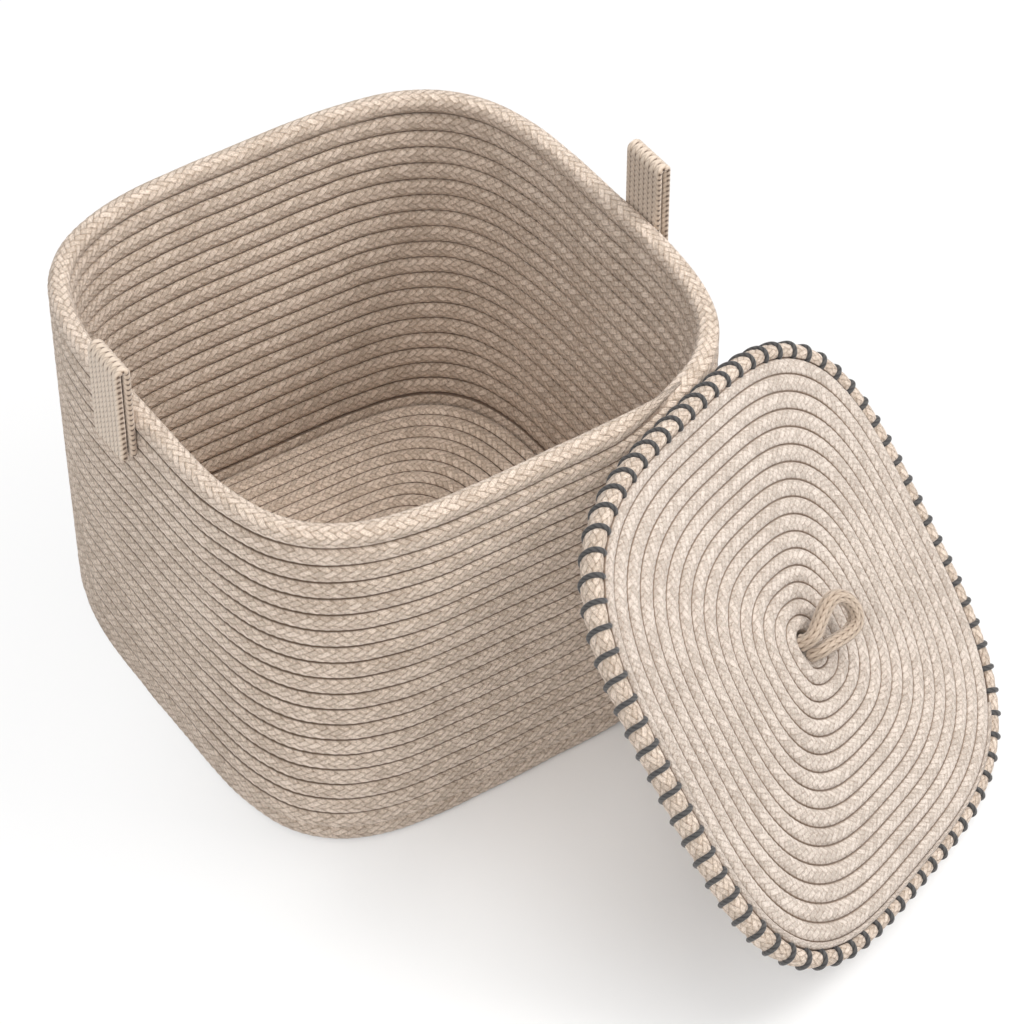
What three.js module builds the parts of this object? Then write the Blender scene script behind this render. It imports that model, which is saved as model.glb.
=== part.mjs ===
// Lidded rope basket: a coiled rope basket with two webbing tabs and a coiled lid that leans on it.
// Millimetres, +Z up. The origin is the middle of the base, on the surface the basket stands on.
// The front wall, where the lid leans, faces -Y; the webbing tabs stand on the walls at -X and +X.
import * as THREE from 'three';

// Wall: one rope wound up in level rows, each stepping up to the next at the same place
const WALL_HEIGHT = 240;
const ROW_PITCH = 12;
const TURN_GAP = 0.5;
const RIM_WIDTH = 316;
const FOOT_WIDTH = 306;
const FOOT_TUCK = 3;
const RIM_POWER = 3.7;
const FOOT_POWER = 4.4;
const CLIMB_AT = -67.5;
const ROPE_TIP = 1.9;

// Flat panels, the base and the lid, wound from a thinner rope
const PANEL_PITCH = 8.4;
const PANEL_CLEARANCE = 0.5;
const BASE_FLAT = 0.8;
const BASE_POWER = 4.4;
const BASE_EYE_POWER = 3.4;
const EYE_PINCH = 0.84;

// Lid: a coiled panel with an oval edge rope, oversewn with a dark cord
const LID_SEAT = 2;
const LID_POWER = 3.45;
const LID_EYE_POWER = 2;
const EDGE_WIDTH = 9;
const EDGE_HEIGHT = 13;
const EDGE_RISE = 0.3;
const WHIP_SPACING = 13;
const WHIP_CORD = 2.4;
const WHIP_CLEARANCE = 0.5;

// Pull loop on the lid, standing off the eye of the coil and leaning over
const LOOP_ROPE = 8;
const LOOP_BREADTH = 9.6;
const LOOP_REACH = 31;
const LOOP_BULGE = 15.5;
const LOOP_TURN = -72;
const LOOP_LEAN = 66;
const TAIL_LENGTH = 24;

// Where the lid leans: its middle across the front, and how it is turned, tilted and rolled
const LID_MIDDLE_X = 99;
const LID_YAW = 32;
const LID_TILT = 53.4;
const LID_ROLL = -11.9;
const LEAN_GAP = 0.5;
const FLOOR_GAP = 0.3;

// Webbing tabs: a strap folded over itself, its ends sewn flat to the outside of the wall
const STRAP_WIDTH = 30;
const STRAP_LAYER = 4.4;
const STRAP_SLIT = 1.2;
const TAB_RISE = 38;
const TAB_SEWN = 25;
const TAB_FLEX_HEIGHT = 6;
const LEFT_TAB_Y = 5;
const RIGHT_TAB_Y = -18;
const FIT_GAP = 0.4;

const radians = THREE.MathUtils.degToRad;
const TURN = 2 * Math.PI;
const WALL_ROWS = Math.round(WALL_HEIGHT / ROW_PITCH);
const HEIGHT = WALL_ROWS * ROW_PITCH;
const ROW_RADIUS = (ROW_PITCH - TURN_GAP) / 2;
const PANEL_RADIUS = (PANEL_PITCH - TURN_GAP) / 2;
const LID_HALF = RIM_WIDTH / 2 - 2 * ROW_RADIUS + LID_SEAT;

const cotton = new THREE.MeshStandardMaterial({ color: 0xdccfc0, roughness: 0.95, metalness: 0 });
const webbing = new THREE.MeshStandardMaterial({ color: 0xd0c0ae, roughness: 0.95, metalness: 0 });
const darkCord = new THREE.MeshStandardMaterial({ color: 0x4b4a4b, roughness: 0.8, metalness: 0 });

const basket = new THREE.Group();

function addMesh(name, geometry, material, parent = basket) {
  const mesh = new THREE.Mesh(geometry, material);
  mesh.name = name;
  parent.add(mesh);
  return mesh;
}

// Distance from the middle to a rounded square of the given half size, along an angle
function squareRadius(half, power, angle) {
  const across = Math.abs(Math.cos(angle)) ** power;
  const along = Math.abs(Math.sin(angle)) ** power;
  return half * (across + along) ** (-1 / power);
}

function squarePoint(half, power, angle, z = 0) {
  const radius = squareRadius(half, power, angle);
  return new THREE.Vector3(radius * Math.cos(angle), radius * Math.sin(angle), z);
}

// Outward direction, in plan, of that rounded square
function squareNormal(half, power, angle) {
  const step = 1e-3;
  const ahead = squarePoint(half, power, angle + step);
  const along = ahead.sub(squarePoint(half, power, angle - step)).normalize();
  return new THREE.Vector3(along.y, -along.x, 0);
}

// Angles that crowd towards the corners, counted in steps round the turn
const CORNER_CROWDING = 0.4;
function stepAngle(step, stepsPerTurn) {
  const even = ((step + 0.5) * TURN) / stepsPerTurn;
  return even + (CORNER_CROWDING / 4) * Math.sin(4 * even);
}

// Volume inside a list of triangles, below zero where they face inwards
function signedVolume(points, index) {
  let volume = 0;
  for (let corner = 0; corner < index.length; corner += 3) {
    const [a, b, c] = index.slice(corner, corner + 3).map((place) => points[place]);
    volume += a.dot(b.clone().cross(c)) / 6;
  }
  return volume;
}

// A solid swept through rings of points, with both ends closed by a flat fan
function sweptSolid(rings, closed = false) {
  const sides = rings[0].length;
  const points = rings.flat();
  const index = [];
  const joints = closed ? rings.length : rings.length - 1;
  for (let ring = 0; ring < joints; ring += 1) {
    const here = ring * sides;
    const next = ((ring + 1) % rings.length) * sides;
    for (let side = 0; side < sides; side += 1) {
      const after = (side + 1) % sides;
      index.push(here + side, next + side, next + after);
      index.push(here + side, next + after, here + after);
    }
  }
  if (!closed) {
    const last = (rings.length - 1) * sides;
    for (let side = 1; side < sides - 1; side += 1) {
      index.push(0, side, side + 1);
      index.push(last, last + side + 1, last + side);
    }
  }
  if (signedVolume(points, index) < 0) index.reverse();
  const geometry = new THREE.BufferGeometry().setFromPoints(points);
  geometry.setIndex(index);
  geometry.computeVertexNormals();
  return geometry;
}

// One ring of an oval section, seen along the path: corners as [across, up] shares of the radii
function sectionRing(centre, across, up, acrossRadius, upRadius, corners) {
  return corners.map(([share, rise]) => centre
    .clone()
    .addScaledVector(across, share * acrossRadius)
    .addScaledVector(up, rise * upRadius));
}

function regularCorners(sides) {
  return Array.from({ length: sides }, (_, side) => {
    const angle = (-side * TURN) / sides;
    return [Math.cos(angle), Math.sin(angle)];
  });
}

const UP = new THREE.Vector3(0, 0, 1);
const DIAMOND = regularCorners(4);
const PENTAGON = regularCorners(5);

// Least clear distance between the turns of a wound path, measured on its points
function leastTurnGap(path, stepsPerTurn) {
  let least = Infinity;
  path.forEach((one, place) => {
    for (let other = place + stepsPerTurn - 2; other < path.length; other += 1) {
      const apart = path[other].centre.distanceTo(one.centre);
      const level = Math.abs(path[other].centre.z - one.centre.z);
      const steep = level / Math.max(apart, 1e-6);
      const reach = (point) => THREE.MathUtils.lerp(point.across, point.up, steep);
      least = Math.min(least, apart - reach(one) - reach(path[other]));
    }
  });
  return least;
}

function ringsOf(path, corners) {
  return path.map((point) => sectionRing(
    point.centre, point.normal, UP, point.across, point.up, corners));
}

// The wall's plan at a height: the foot is a little smaller and squarer than the rim
function wallHalf(z) {
  const share = z / HEIGHT;
  const tuck = FOOT_TUCK * Math.max(0, 1 - z / (2 * ROW_PITCH)) ** 2;
  return THREE.MathUtils.lerp(FOOT_WIDTH, RIM_WIDTH, share) / 2 - tuck;
}

function wallPower(z) {
  return THREE.MathUtils.lerp(FOOT_POWER, RIM_POWER, z / HEIGHT);
}

const WALL_STEPS = 16;
const PANEL_STEPS = 16;
const SKIVE_STEPS = 3;

function wallPoint(angle, z, radius) {
  const half = wallHalf(z) - ROW_RADIUS;
  const power = wallPower(z);
  return {
    centre: squarePoint(half, power, angle, z),
    normal: squareNormal(half, power, angle),
    across: radius,
    up: radius,
  };
}

// Rows of the wall, from a skived start under the first climb to a skived end over the last one
function wallPath() {
  const path = [];
  const first = Math.round(((CLIMB_AT + 360) / 360) * WALL_STEPS - 0.5) % WALL_STEPS;
  const climbStart = stepAngle(first - 1, WALL_STEPS);
  const climbEnd = stepAngle(first, WALL_STEPS);
  const tipShare = (ROPE_TIP + TURN_GAP) / ROW_PITCH;
  const tipRadius = ROPE_TIP / 2;
  const floorGap = ROW_PITCH / 2 - ROW_RADIUS;
  const startAngle = THREE.MathUtils.lerp(climbStart, climbEnd, tipShare);
  const endAngle = THREE.MathUtils.lerp(climbStart, climbEnd, 1 - tipShare);
  path.push(wallPoint(startAngle, floorGap + tipRadius, tipRadius));
  for (let row = 0; row < WALL_ROWS; row += 1) {
    for (let step = 0; step < WALL_STEPS; step += 1) {
      const angle = stepAngle(first + step, WALL_STEPS);
      path.push(wallPoint(angle, (row + 0.5) * ROW_PITCH, ROW_RADIUS));
    }
  }
  path.push(wallPoint(endAngle + TURN, HEIGHT - floorGap - tipRadius, tipRadius));
  return path;
}

// A flat spiral whose last turn is skived away, so that its outer edge is a true rounded square.
// Its eye can be longer along one angle. Every turn is as wide as the room it has, and the first
// one starts pinched, because it bends the tightest.
function panelPath({ outerHalf, power, eyePower, firstTurn, eyeStretch = 0, eyeAngle = 0, eyeMiddle }) {
  const turns = Math.round(outerHalf / PANEL_PITCH + 0.5);
  const pitch = outerHalf / (turns - 0.5);
  const lastStep = turns * PANEL_STEPS - SKIVE_STEPS;
  const eyeAlong = new THREE.Vector3(Math.cos(eyeAngle), Math.sin(eyeAngle), 0);

  const windAround = (shift) => {
    const pointAt = (distance, angle) => {
      const share = distance / outerHalf;
      const squareness = eyePower + (power - eyePower) * share ** 0.6;
      return squarePoint(distance, squareness, angle)
        .addScaledVector(eyeAlong, eyeStretch * Math.cos(angle - eyeAngle) * (1 - share))
        .addScaledVector(shift, share - 1);
    };
    const path = [];
    for (let step = Math.round(firstTurn * PANEL_STEPS); step <= lastStep; step += 1) {
      const turn = step / PANEL_STEPS;
      const width = Math.min(1, turns - turn);
      const pinch = Math.min(1, THREE.MathUtils.lerp(EYE_PINCH, 1, turn - firstTurn));
      const distance = Math.min(turn * pitch, outerHalf - (width * pitch) / 2);
      const angle = stepAngle(step, PANEL_STEPS);
      const along = pointAt(distance, angle + 1e-3).sub(pointAt(distance, angle - 1e-3)).normalize();
      const normal = new THREE.Vector3(along.y, -along.x, 0);
      const room = pointAt(distance + pitch / 2, angle).sub(pointAt(distance - pitch / 2, angle));
      path.push({
        centre: pointAt(distance, angle),
        normal,
        across: (room.dot(normal) * width * pinch - TURN_GAP) / 2,
        up: (pitch - TURN_GAP) / 2,
      });
    }
    return path;
  };
  return windAround(eyeMiddle(windAround(new THREE.Vector3())));
}

const wallRope = wallPath();
addMesh('wall_coil', sweptSolid(ringsOf(wallRope, DIAMOND)), cotton);

// Base: its lowest tenth is flat, and the eye of the coil is shifted so that rope crosses the middle
const footInside = wallHalf(ROW_PITCH / 2) - 2 * ROW_RADIUS - PANEL_CLEARANCE;
const baseRope = panelPath({
  outerHalf: footInside,
  power: BASE_POWER,
  eyePower: BASE_EYE_POWER,
  firstTurn: 0.5,
  eyeMiddle: (path) => path[0].centre.clone().add(path[1].centre).multiplyScalar(0.5),
});
const FLAT_BOTTOM = [[1, -BASE_FLAT], [0.45, 1], [-0.45, 1], [-1, -BASE_FLAT]];
const baseCoil = addMesh('base_coil', sweptSolid(ringsOf(baseRope, FLAT_BOTTOM)), cotton);
baseCoil.position.z = BASE_FLAT * baseRope[0].up;

// The lid's own frame: its middle, with x across, y up the slope and z out of its outer face
const lidYaw = new THREE.Group();
const lidTilt = new THREE.Group();
const lid = new THREE.Group();
lidYaw.rotation.z = radians(LID_YAW);
lidTilt.rotation.x = radians(LID_TILT);
lid.rotation.z = radians(LID_ROLL);
basket.add(lidYaw);
lidYaw.add(lidTilt);
lidTilt.add(lid);

// The edge rope's section has five sides, with a corner outwards and a face towards the panel
const edgeAcross = EDGE_WIDTH / (1 + Math.cos(TURN / 10));
const edgeUp = EDGE_HEIGHT / 2 / Math.sin(TURN / 5);
const edgeCentreHalf = LID_HALF - edgeAcross;
const edgeDrop = PANEL_RADIUS + EDGE_RISE - EDGE_HEIGHT / 2;

// The whip cord's corners stand off so that its runs clear the faces between them
const FACE_SHARE = 0.72;
const whipReach = (WHIP_CLEARANCE + WHIP_CORD / 2) / FACE_SHARE;
const whipAcross = edgeAcross + whipReach;
const whipUp = edgeUp + whipReach;
const whipInside = whipAcross * Math.cos(TURN / 10) + WHIP_CORD / 2;

// The eye of the lid's coil is a slot that both legs of the loop's rope go through
const loopRadius = LOOP_ROPE / 2;
const loopLegs = loopRadius + FIT_GAP;
const lidRope = panelPath({
  outerHalf: edgeCentreHalf - whipInside - PANEL_CLEARANCE,
  power: LID_POWER,
  eyePower: LID_EYE_POWER,
  firstTurn: 0.75,
  eyeStretch: loopLegs + FIT_GAP,
  eyeAngle: radians(LOOP_TURN),
  eyeMiddle: (path) => path.slice(0, PANEL_STEPS)
    .reduce((sum, point) => sum.addScaledVector(point.centre, 2 / PANEL_STEPS), new THREE.Vector3()),
});
addMesh('lid_coil', sweptSolid(ringsOf(lidRope, DIAMOND)), cotton, lid);

// Edge rope: one turn of wall rope drawn oval, its ends butted under the stitches
const EDGE_STEPS = 48;
const edgeRings = Array.from({ length: EDGE_STEPS }, (_, step) => {
  const angle = stepAngle(step, EDGE_STEPS);
  return sectionRing(
    squarePoint(edgeCentreHalf, LID_POWER, angle, edgeDrop),
    squareNormal(edgeCentreHalf, LID_POWER, angle),
    UP, edgeAcross, edgeUp, PENTAGON);
});
addMesh('lid_edge_rope', sweptSolid(edgeRings, true), cotton, lid);

// Lengths along a rounded square from its start, sample by sample, the last one the whole way round
function lengthsAlong(half, power, samples) {
  const lengths = [0];
  let previous = squarePoint(half, power, 0);
  for (let sample = 1; sample <= samples; sample += 1) {
    const point = squarePoint(half, power, (sample * TURN) / samples);
    lengths.push(lengths[sample - 1] + point.distanceTo(previous));
    previous = point;
  }
  return lengths;
}

// Angles at equal distances along a rounded square
function evenAngles(half, power, count) {
  const samples = 16 * count;
  const lengths = lengthsAlong(half, power, samples);
  const angles = [];
  let sample = 0;
  for (let place = 0; place < count; place += 1) {
    const wanted = (lengths[samples] * place) / count;
    while (lengths[sample + 1] < wanted) sample += 1;
    const share = (wanted - lengths[sample]) / (lengths[sample + 1] - lengths[sample]);
    angles.push(((sample + share) * TURN) / samples);
  }
  return angles;
}

// Whip cord: one dark cord wound round the edge rope, going on a stitch at each turn
const WHIP_STEPS = 5;
const edgeLength = lengthsAlong(edgeCentreHalf, LID_POWER, 720).at(-1);
const stitches = Math.round(edgeLength / WHIP_SPACING);
const stitchAngles = evenAngles(edgeCentreHalf, LID_POWER, stitches * WHIP_STEPS);
const whipCord = stitchAngles.slice(0, -2).map((angle, step) => {
  const round = (step * TURN) / WHIP_STEPS;
  return squarePoint(edgeCentreHalf, LID_POWER, angle, edgeDrop - Math.sin(round) * whipUp)
    .addScaledVector(squareNormal(edgeCentreHalf, LID_POWER, angle), Math.cos(round) * whipAcross);
});

// A round tube along any open line of points, its section kept from twisting
function cordSolid(points, radiusAt, sides) {
  const corners = regularCorners(sides);
  let across = null;
  const rings = points.map((point, place) => {
    const before = points[Math.max(0, place - 1)];
    const after = points[Math.min(points.length - 1, place + 1)];
    const along = after.clone().sub(before).normalize();
    if (!across) across = new THREE.Vector3(0.3, 0.5, 0.8).cross(along).normalize();
    across.addScaledVector(along, -across.dot(along)).normalize();
    const up = across.clone().cross(along);
    return sectionRing(point, across, up, radiusAt(place), radiusAt(place), corners);
  });
  return sweptSolid(rings);
}

addMesh('lid_whip_cord', cordSolid(whipCord, () => WHIP_CORD / 2, 3), darkCord, lid);

// Pull loop: both legs stand side by side over the eye of the coil, rounded where they bend,
// and the rope is pressed a little flat on its way round
const loopAxisHeight = PANEL_RADIUS + FIT_GAP + loopRadius;
const LOOP_STEPS = 20;
const DOME_STEPS = 3;

function loopRings() {
  const corners = regularCorners(8);
  const depth = new THREE.Vector3(0, 0, 1);
  const centreAt = (share) => new THREE.Vector3(
    -Math.cos(Math.PI * share) * (loopLegs + LOOP_BULGE * Math.sin(Math.PI * share)),
    LOOP_REACH * Math.sin(Math.PI * share) ** 0.75, 0);
  const rings = [];
  const legEnd = (side, place) => {
    const fall = (place * Math.PI) / 2 / DOME_STEPS;
    const centre = new THREE.Vector3(side * loopLegs, -loopRadius * Math.sin(fall), 0);
    const size = Math.max(loopRadius * Math.cos(fall), loopRadius * 0.08);
    const across = new THREE.Vector3(side, 0, 0);
    return sectionRing(centre, across, depth, size, size, corners);
  };
  for (let place = DOME_STEPS; place > 0; place -= 1) rings.push(legEnd(-1, place));
  for (let step = 0; step <= LOOP_STEPS; step += 1) {
    const share = step / LOOP_STEPS;
    const centre = centreAt(share);
    const before = centreAt(Math.max(0, share - 0.01));
    const along = centreAt(Math.min(1, share + 0.01)).sub(before).normalize();
    if (step === 0) along.set(0, 1, 0);
    if (step === LOOP_STEPS) along.set(0, -1, 0);
    const across = along.clone().cross(depth).negate();
    const breadth = THREE.MathUtils.lerp(LOOP_ROPE, LOOP_BREADTH, Math.sin(Math.PI * share));
    rings.push(sectionRing(centre, across, depth, loopRadius, breadth / 2, corners));
  }
  for (let place = 1; place <= DOME_STEPS; place += 1) rings.push(legEnd(1, place));
  return rings;
}

// The loop's hinge line lies along its legs; x runs from leg to leg and z is the way it folds
const loopTurn = new THREE.Group();
loopTurn.position.z = loopAxisHeight;
loopTurn.rotation.z = radians(LOOP_TURN);
lid.add(loopTurn);
const loopLean = new THREE.Group();
loopLean.rotation.x = radians(90 - LOOP_LEAN);
loopTurn.add(loopLean);
addMesh('lid_pull_loop', sweptSolid(loopRings()), cotton, loopLean);

// Tails of the same rope: each goes down through the eye, bends and lies sewn flat under the lid
const tailDepth = PANEL_RADIUS + FIT_GAP + loopRadius;
const tailBend = loopRadius + FIT_GAP;
const TAIL_BEND_STEPS = 4;
const tailRun = [];
for (let place = DOME_STEPS; place >= 0; place -= 1) {
  const fall = (place * Math.PI) / 2 / DOME_STEPS;
  tailRun.push([0, PANEL_RADIUS - loopRadius * (1 - Math.sin(fall)), Math.cos(fall)]);
}
for (let step = 0; step <= TAIL_BEND_STEPS; step += 1) {
  const bent = (step * Math.PI) / 2 / TAIL_BEND_STEPS;
  tailRun.push([tailBend * (1 - Math.cos(bent)), tailBend * (1 - Math.sin(bent)) - tailDepth, 1]);
}
for (let place = 0; place <= DOME_STEPS; place += 1) {
  const fall = (place * Math.PI) / 2 / DOME_STEPS;
  tailRun.push([TAIL_LENGTH + loopRadius * Math.sin(fall), -tailDepth, Math.cos(fall)]);
}
for (const [name, side] of [['loop_tail_upper', -1], ['loop_tail_lower', 1]]) {
  const points = tailRun.map(([along, up]) => new THREE.Vector3(side * loopLegs, along, up));
  const radiusAt = (place) => loopRadius * Math.max(tailRun[place][2], 0.08);
  const tail = addMesh(name, cordSolid(points, radiusAt, 8), cotton, lid);
  tail.rotation.z = radians(LOOP_TURN);
}

// Where the crests of the front wall stand, at a place across it and a height
function wallFront(x, z) {
  const corners = Array.from({ length: WALL_STEPS }, (_, step) => {
    const { centre, normal } = wallPoint(stepAngle(step, WALL_STEPS), z, ROW_RADIUS);
    return centre.addScaledVector(normal, ROW_RADIUS);
  });
  let front = Infinity;
  corners.forEach((corner, place) => {
    const next = corners[(place + 1) % corners.length];
    const share = (x - corner.x) / (next.x - corner.x);
    if (share >= 0 && share <= 1) {
      front = Math.min(front, THREE.MathUtils.lerp(corner.y, next.y, share));
    }
  });
  return front;
}

// The lid is let down until its stitched edge is on the floor and leans on the wall
function placeLid() {
  lidYaw.position.x = LID_MIDDLE_X;
  lidYaw.updateMatrixWorld(true);
  const points = [];
  lid.traverse((piece) => {
    const corners = piece.geometry?.getAttribute('position');
    for (let place = 0; place < (corners?.count ?? 0); place += 1) {
      const point = new THREE.Vector3().fromBufferAttribute(corners, place);
      points.push(piece.localToWorld(point));
    }
  });
  lidYaw.position.z = FLOOR_GAP - Math.min(...points.map((point) => point.z));
  const room = points.map(({ x, y, z }) => {
    const height = z + lidYaw.position.z;
    return height > HEIGHT ? Infinity : wallFront(x, height) - y;
  });
  lidYaw.position.y = Math.min(...room) - LEAN_GAP;
}
placeLid();

// One webbing tab, built standing at the wall's outer face: x outwards, y along the wall
function addTab(side, sideName, along) {
  const tab = new THREE.Group();
  tab.rotation.z = side > 0 ? 0 : Math.PI;
  tab.position.set(side * (RIM_WIDTH / 2 + FIT_GAP), along, 0);
  basket.add(tab);
  const thickness = 2 * STRAP_LAYER + STRAP_SLIT;
  const half = thickness / 2;
  const flexHeight = HEIGHT + TAB_FLEX_HEIGHT;
  const extrude = { depth: STRAP_WIDTH, bevelEnabled: false, curveSegments: 8 };
  const laid = (shape) => new THREE.ExtrudeGeometry(shape, extrude)
    .rotateX(Math.PI / 2)
    .translate(0, STRAP_WIDTH / 2, 0);

  const sewnTop = flexHeight - half - TURN_GAP;
  const sewnBottom = HEIGHT - TAB_SEWN;
  const sewn = new THREE.Shape();
  sewn.moveTo(0, sewnBottom);
  sewn.lineTo(thickness - STRAP_LAYER / 2, sewnBottom);
  sewn.absarc(thickness - STRAP_LAYER / 2, sewnBottom + STRAP_LAYER / 2, STRAP_LAYER / 2,
    -Math.PI / 2, 0, false);
  sewn.lineTo(thickness, sewnTop);
  sewn.lineTo(0, sewnTop);
  addMesh(`handle_sewn_${sideName}`, laid(sewn), webbing, tab);

  const top = HEIGHT + TAB_RISE - half;
  const slitTop = top - STRAP_LAYER / 2;
  const fold = new THREE.Shape();
  fold.moveTo(0, flexHeight);
  fold.absarc(half, flexHeight, half, Math.PI, TURN, false);
  fold.lineTo(thickness, top);
  fold.absarc(half, top, half, 0, Math.PI, false);
  const slit = new THREE.Path();
  slit.absarc(half, slitTop, STRAP_SLIT / 2, 0, Math.PI, false);
  slit.absarc(half, flexHeight, STRAP_SLIT / 2, Math.PI, TURN, false);
  slit.closePath();
  fold.holes.push(slit);
  addMesh(`handle_fold_${sideName}`, laid(fold), webbing, tab);
}
addTab(-1, 'left', LEFT_TAB_Y);
addTab(1, 'right', RIGHT_TAB_Y);

basket.updateMatrixWorld(true);
console.log('least gap of wall_coil', leastTurnGap(wallRope, WALL_STEPS).toFixed(2));
console.log('least gap of base_coil', leastTurnGap(baseRope, PANEL_STEPS).toFixed(2));
console.log('least gap of lid_coil', leastTurnGap(lidRope, PANEL_STEPS).toFixed(2));
console.log('least gap of lid_whip_cord', leastTurnGap(whipCord.map((centre) => (
  { centre, across: WHIP_CORD / 2, up: WHIP_CORD / 2 })), WHIP_STEPS).toFixed(2));

export default basket;
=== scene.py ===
"""Dressed model of a lidded rope basket: plaited cotton rope, webbing tabs and a whipped lid.

Everything is in metres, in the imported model's frame: +Z up, the basket's base at the origin,
the lid leaning on the wall that faces -Y. Sizes are named in millimetres and scaled by MM.
"""
import logging
import math
from dataclasses import dataclass, replace
from enum import Enum

import bpy
import numpy as np
from mathutils import Matrix, Vector


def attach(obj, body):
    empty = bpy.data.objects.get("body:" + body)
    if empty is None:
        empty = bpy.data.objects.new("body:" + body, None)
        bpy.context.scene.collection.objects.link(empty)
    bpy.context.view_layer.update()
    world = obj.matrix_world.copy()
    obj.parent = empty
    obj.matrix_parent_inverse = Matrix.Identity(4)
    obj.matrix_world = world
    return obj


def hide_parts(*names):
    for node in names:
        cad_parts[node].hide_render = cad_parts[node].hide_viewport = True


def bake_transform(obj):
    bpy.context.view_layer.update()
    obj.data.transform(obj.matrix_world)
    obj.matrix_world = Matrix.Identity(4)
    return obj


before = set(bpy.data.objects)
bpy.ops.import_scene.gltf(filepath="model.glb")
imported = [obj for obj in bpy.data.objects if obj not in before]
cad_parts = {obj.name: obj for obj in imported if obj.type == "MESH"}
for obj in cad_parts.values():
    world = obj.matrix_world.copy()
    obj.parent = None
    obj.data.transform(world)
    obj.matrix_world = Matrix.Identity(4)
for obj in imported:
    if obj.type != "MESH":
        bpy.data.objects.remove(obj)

LOG = logging.getLogger("basket")
MM = 0.001
TURN = 2.0 * math.pi
Colour = tuple[float, float, float, float]
Point = tuple[float, float, float]
Socket = bpy.types.NodeSocket
Value = Socket | float | Colour | Point


class Slot(Enum):
    """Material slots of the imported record."""

    ROPE = "cotton_rope"
    WEBBING = "webbing"
    CORD = "whip_cord"


class Body(Enum):
    """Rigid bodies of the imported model."""

    BASKET = "basket"
    LID = "lid"
    LOOP = "pull_loop"
    TAB_LEFT = "handle_left"
    TAB_RIGHT = "handle_right"


@dataclass(frozen=True)
class BasketSizes:
    """Driving sizes of the real basket, in millimetres, as the solids have them."""

    rows: int = 20
    row_pitch: float = 12.0
    rim_width: float = 316.0
    foot_width: float = 306.0
    foot_tuck: float = 3.0
    rim_power: float = 3.7
    foot_power: float = 4.4
    climb_from: float = -74.7
    climb_to: float = -52.2
    base_half: float = 139.4
    base_turns: float = 17.0
    base_power: float = 4.4
    base_eye_power: float = 3.4
    eye_pinch: float = 0.84
    lid_half: float = 148.5
    lid_power: float = 3.45
    lid_eye_power: float = 2.0
    eye_stretch: float = 4.8
    panel_turns: float = 17.0
    edge_width: float = 9.0
    edge_height: float = 13.0
    edge_top: float = 4.25
    stitches: int = 76
    stitch_cord: float = 3.0

    @property
    def height(self) -> float:
        """Height of the wall."""
        return self.rows * self.row_pitch


@dataclass(frozen=True)
class LidPose:
    """Where the lid leans, as turns in degrees and its middle in millimetres."""

    yaw: float = 32.0
    tilt: float = 53.4
    roll: float = -11.9
    centre: tuple[float, float, float] = (99.0, -256.70, 130.763)

    def matrix(self) -> Matrix:
        """Matrix from the lid's own frame, in metres, to the model's frame."""
        turn = (
            Matrix.Rotation(math.radians(self.yaw), 4, "Z")
            @ Matrix.Rotation(math.radians(self.tilt), 4, "X")
            @ Matrix.Rotation(math.radians(self.roll), 4, "Z")
        )
        return Matrix.Translation(Vector(self.centre) * MM) @ turn


@dataclass(frozen=True)
class LoopShape:
    """The pull loop on the lid, in millimetres and degrees."""

    rope: float = 8.0
    breadth: float = 9.6
    reach: float = 31.0
    bulge: float = 15.5
    turn: float = -72.0
    lean: float = 66.0
    leg: float = 4.4
    axis_height: float = 8.35
    tail_length: float = 24.0


@dataclass(frozen=True)
class Spiral:
    """Sizes of a flat coil, in millimetres and radians.

    Attributes:
        half: half the outside width.
        turns: turns from the middle to the end.
        power: squareness of the outermost turn.
        eye_power: squareness at the eye.
        first: the turn at which the rope starts.
        eye_points: steps of the first turn whose middle sets where the eye lies.
        eye_pull: how far the eye is moved, as a share of that middle.
        eye_stretch: how much longer the eye is along one direction.
        eye_angle: that direction.
    """

    half: float
    turns: float
    power: float
    eye_power: float
    first: float
    eye_points: int
    eye_pull: float
    eye_stretch: float = 0.0
    eye_angle: float = 0.0


@dataclass(frozen=True)
class StrapShape:
    """A webbing tab: a strap folded over itself, in millimetres."""

    side: int
    along: float
    width: float = 30.0
    layer: float = 4.4
    slit: float = 1.2
    face: float = 158.4
    bottom: float = 215.0
    top: float = 278.0
    flex: float = 246.0


@dataclass(frozen=True)
class Plait:
    """A round plait: strands run both ways round the rope, over two and under two.

    LOW is a strand's height where it goes under, and ARCH is how quickly it rises from there.

    Attributes:
        columns: strands of each direction round the rope.
        pitch: length of rope from one strand to the next, in millimetres.
        depth: how far strands stand proud of the gaps, in millimetres.
    """

    LOW = 0.3
    ARCH = 1.5

    columns: int
    pitch: float
    depth: float

    def height(self, along: np.ndarray, around: np.ndarray) -> np.ndarray:
        """Relief of the plait, 0 in the gaps and 1 on top of a strand.

        Args:
            along: distance along the rope, counted in pitches.
            around: place round the rope, counted in strands.

        Returns:
            The relief at each point.
        """
        first, second = around + along, around - along
        first_cell, second_cell = np.floor(first), np.floor(second)
        kind = np.mod(first_cell + second_cell, 4.0)
        over = kind < 1.5
        across = np.where(over, first - first_cell, second - second_cell)
        inside = np.where(over, second - second_cell, first - first_cell)
        float_share = (np.where(over, kind, kind - 2.0) + inside) / 2.0
        crown = np.sqrt(np.clip(1.0 - (2.0 * across - 1.0) ** 2, 0.0, 1.0))
        arch = np.clip(self.ARCH * np.sin(math.pi * np.clip(float_share, 0.0, 1.0)), 0.0, 1.0)
        return crown * (self.LOW + (1.0 - self.LOW) * arch)


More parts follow.
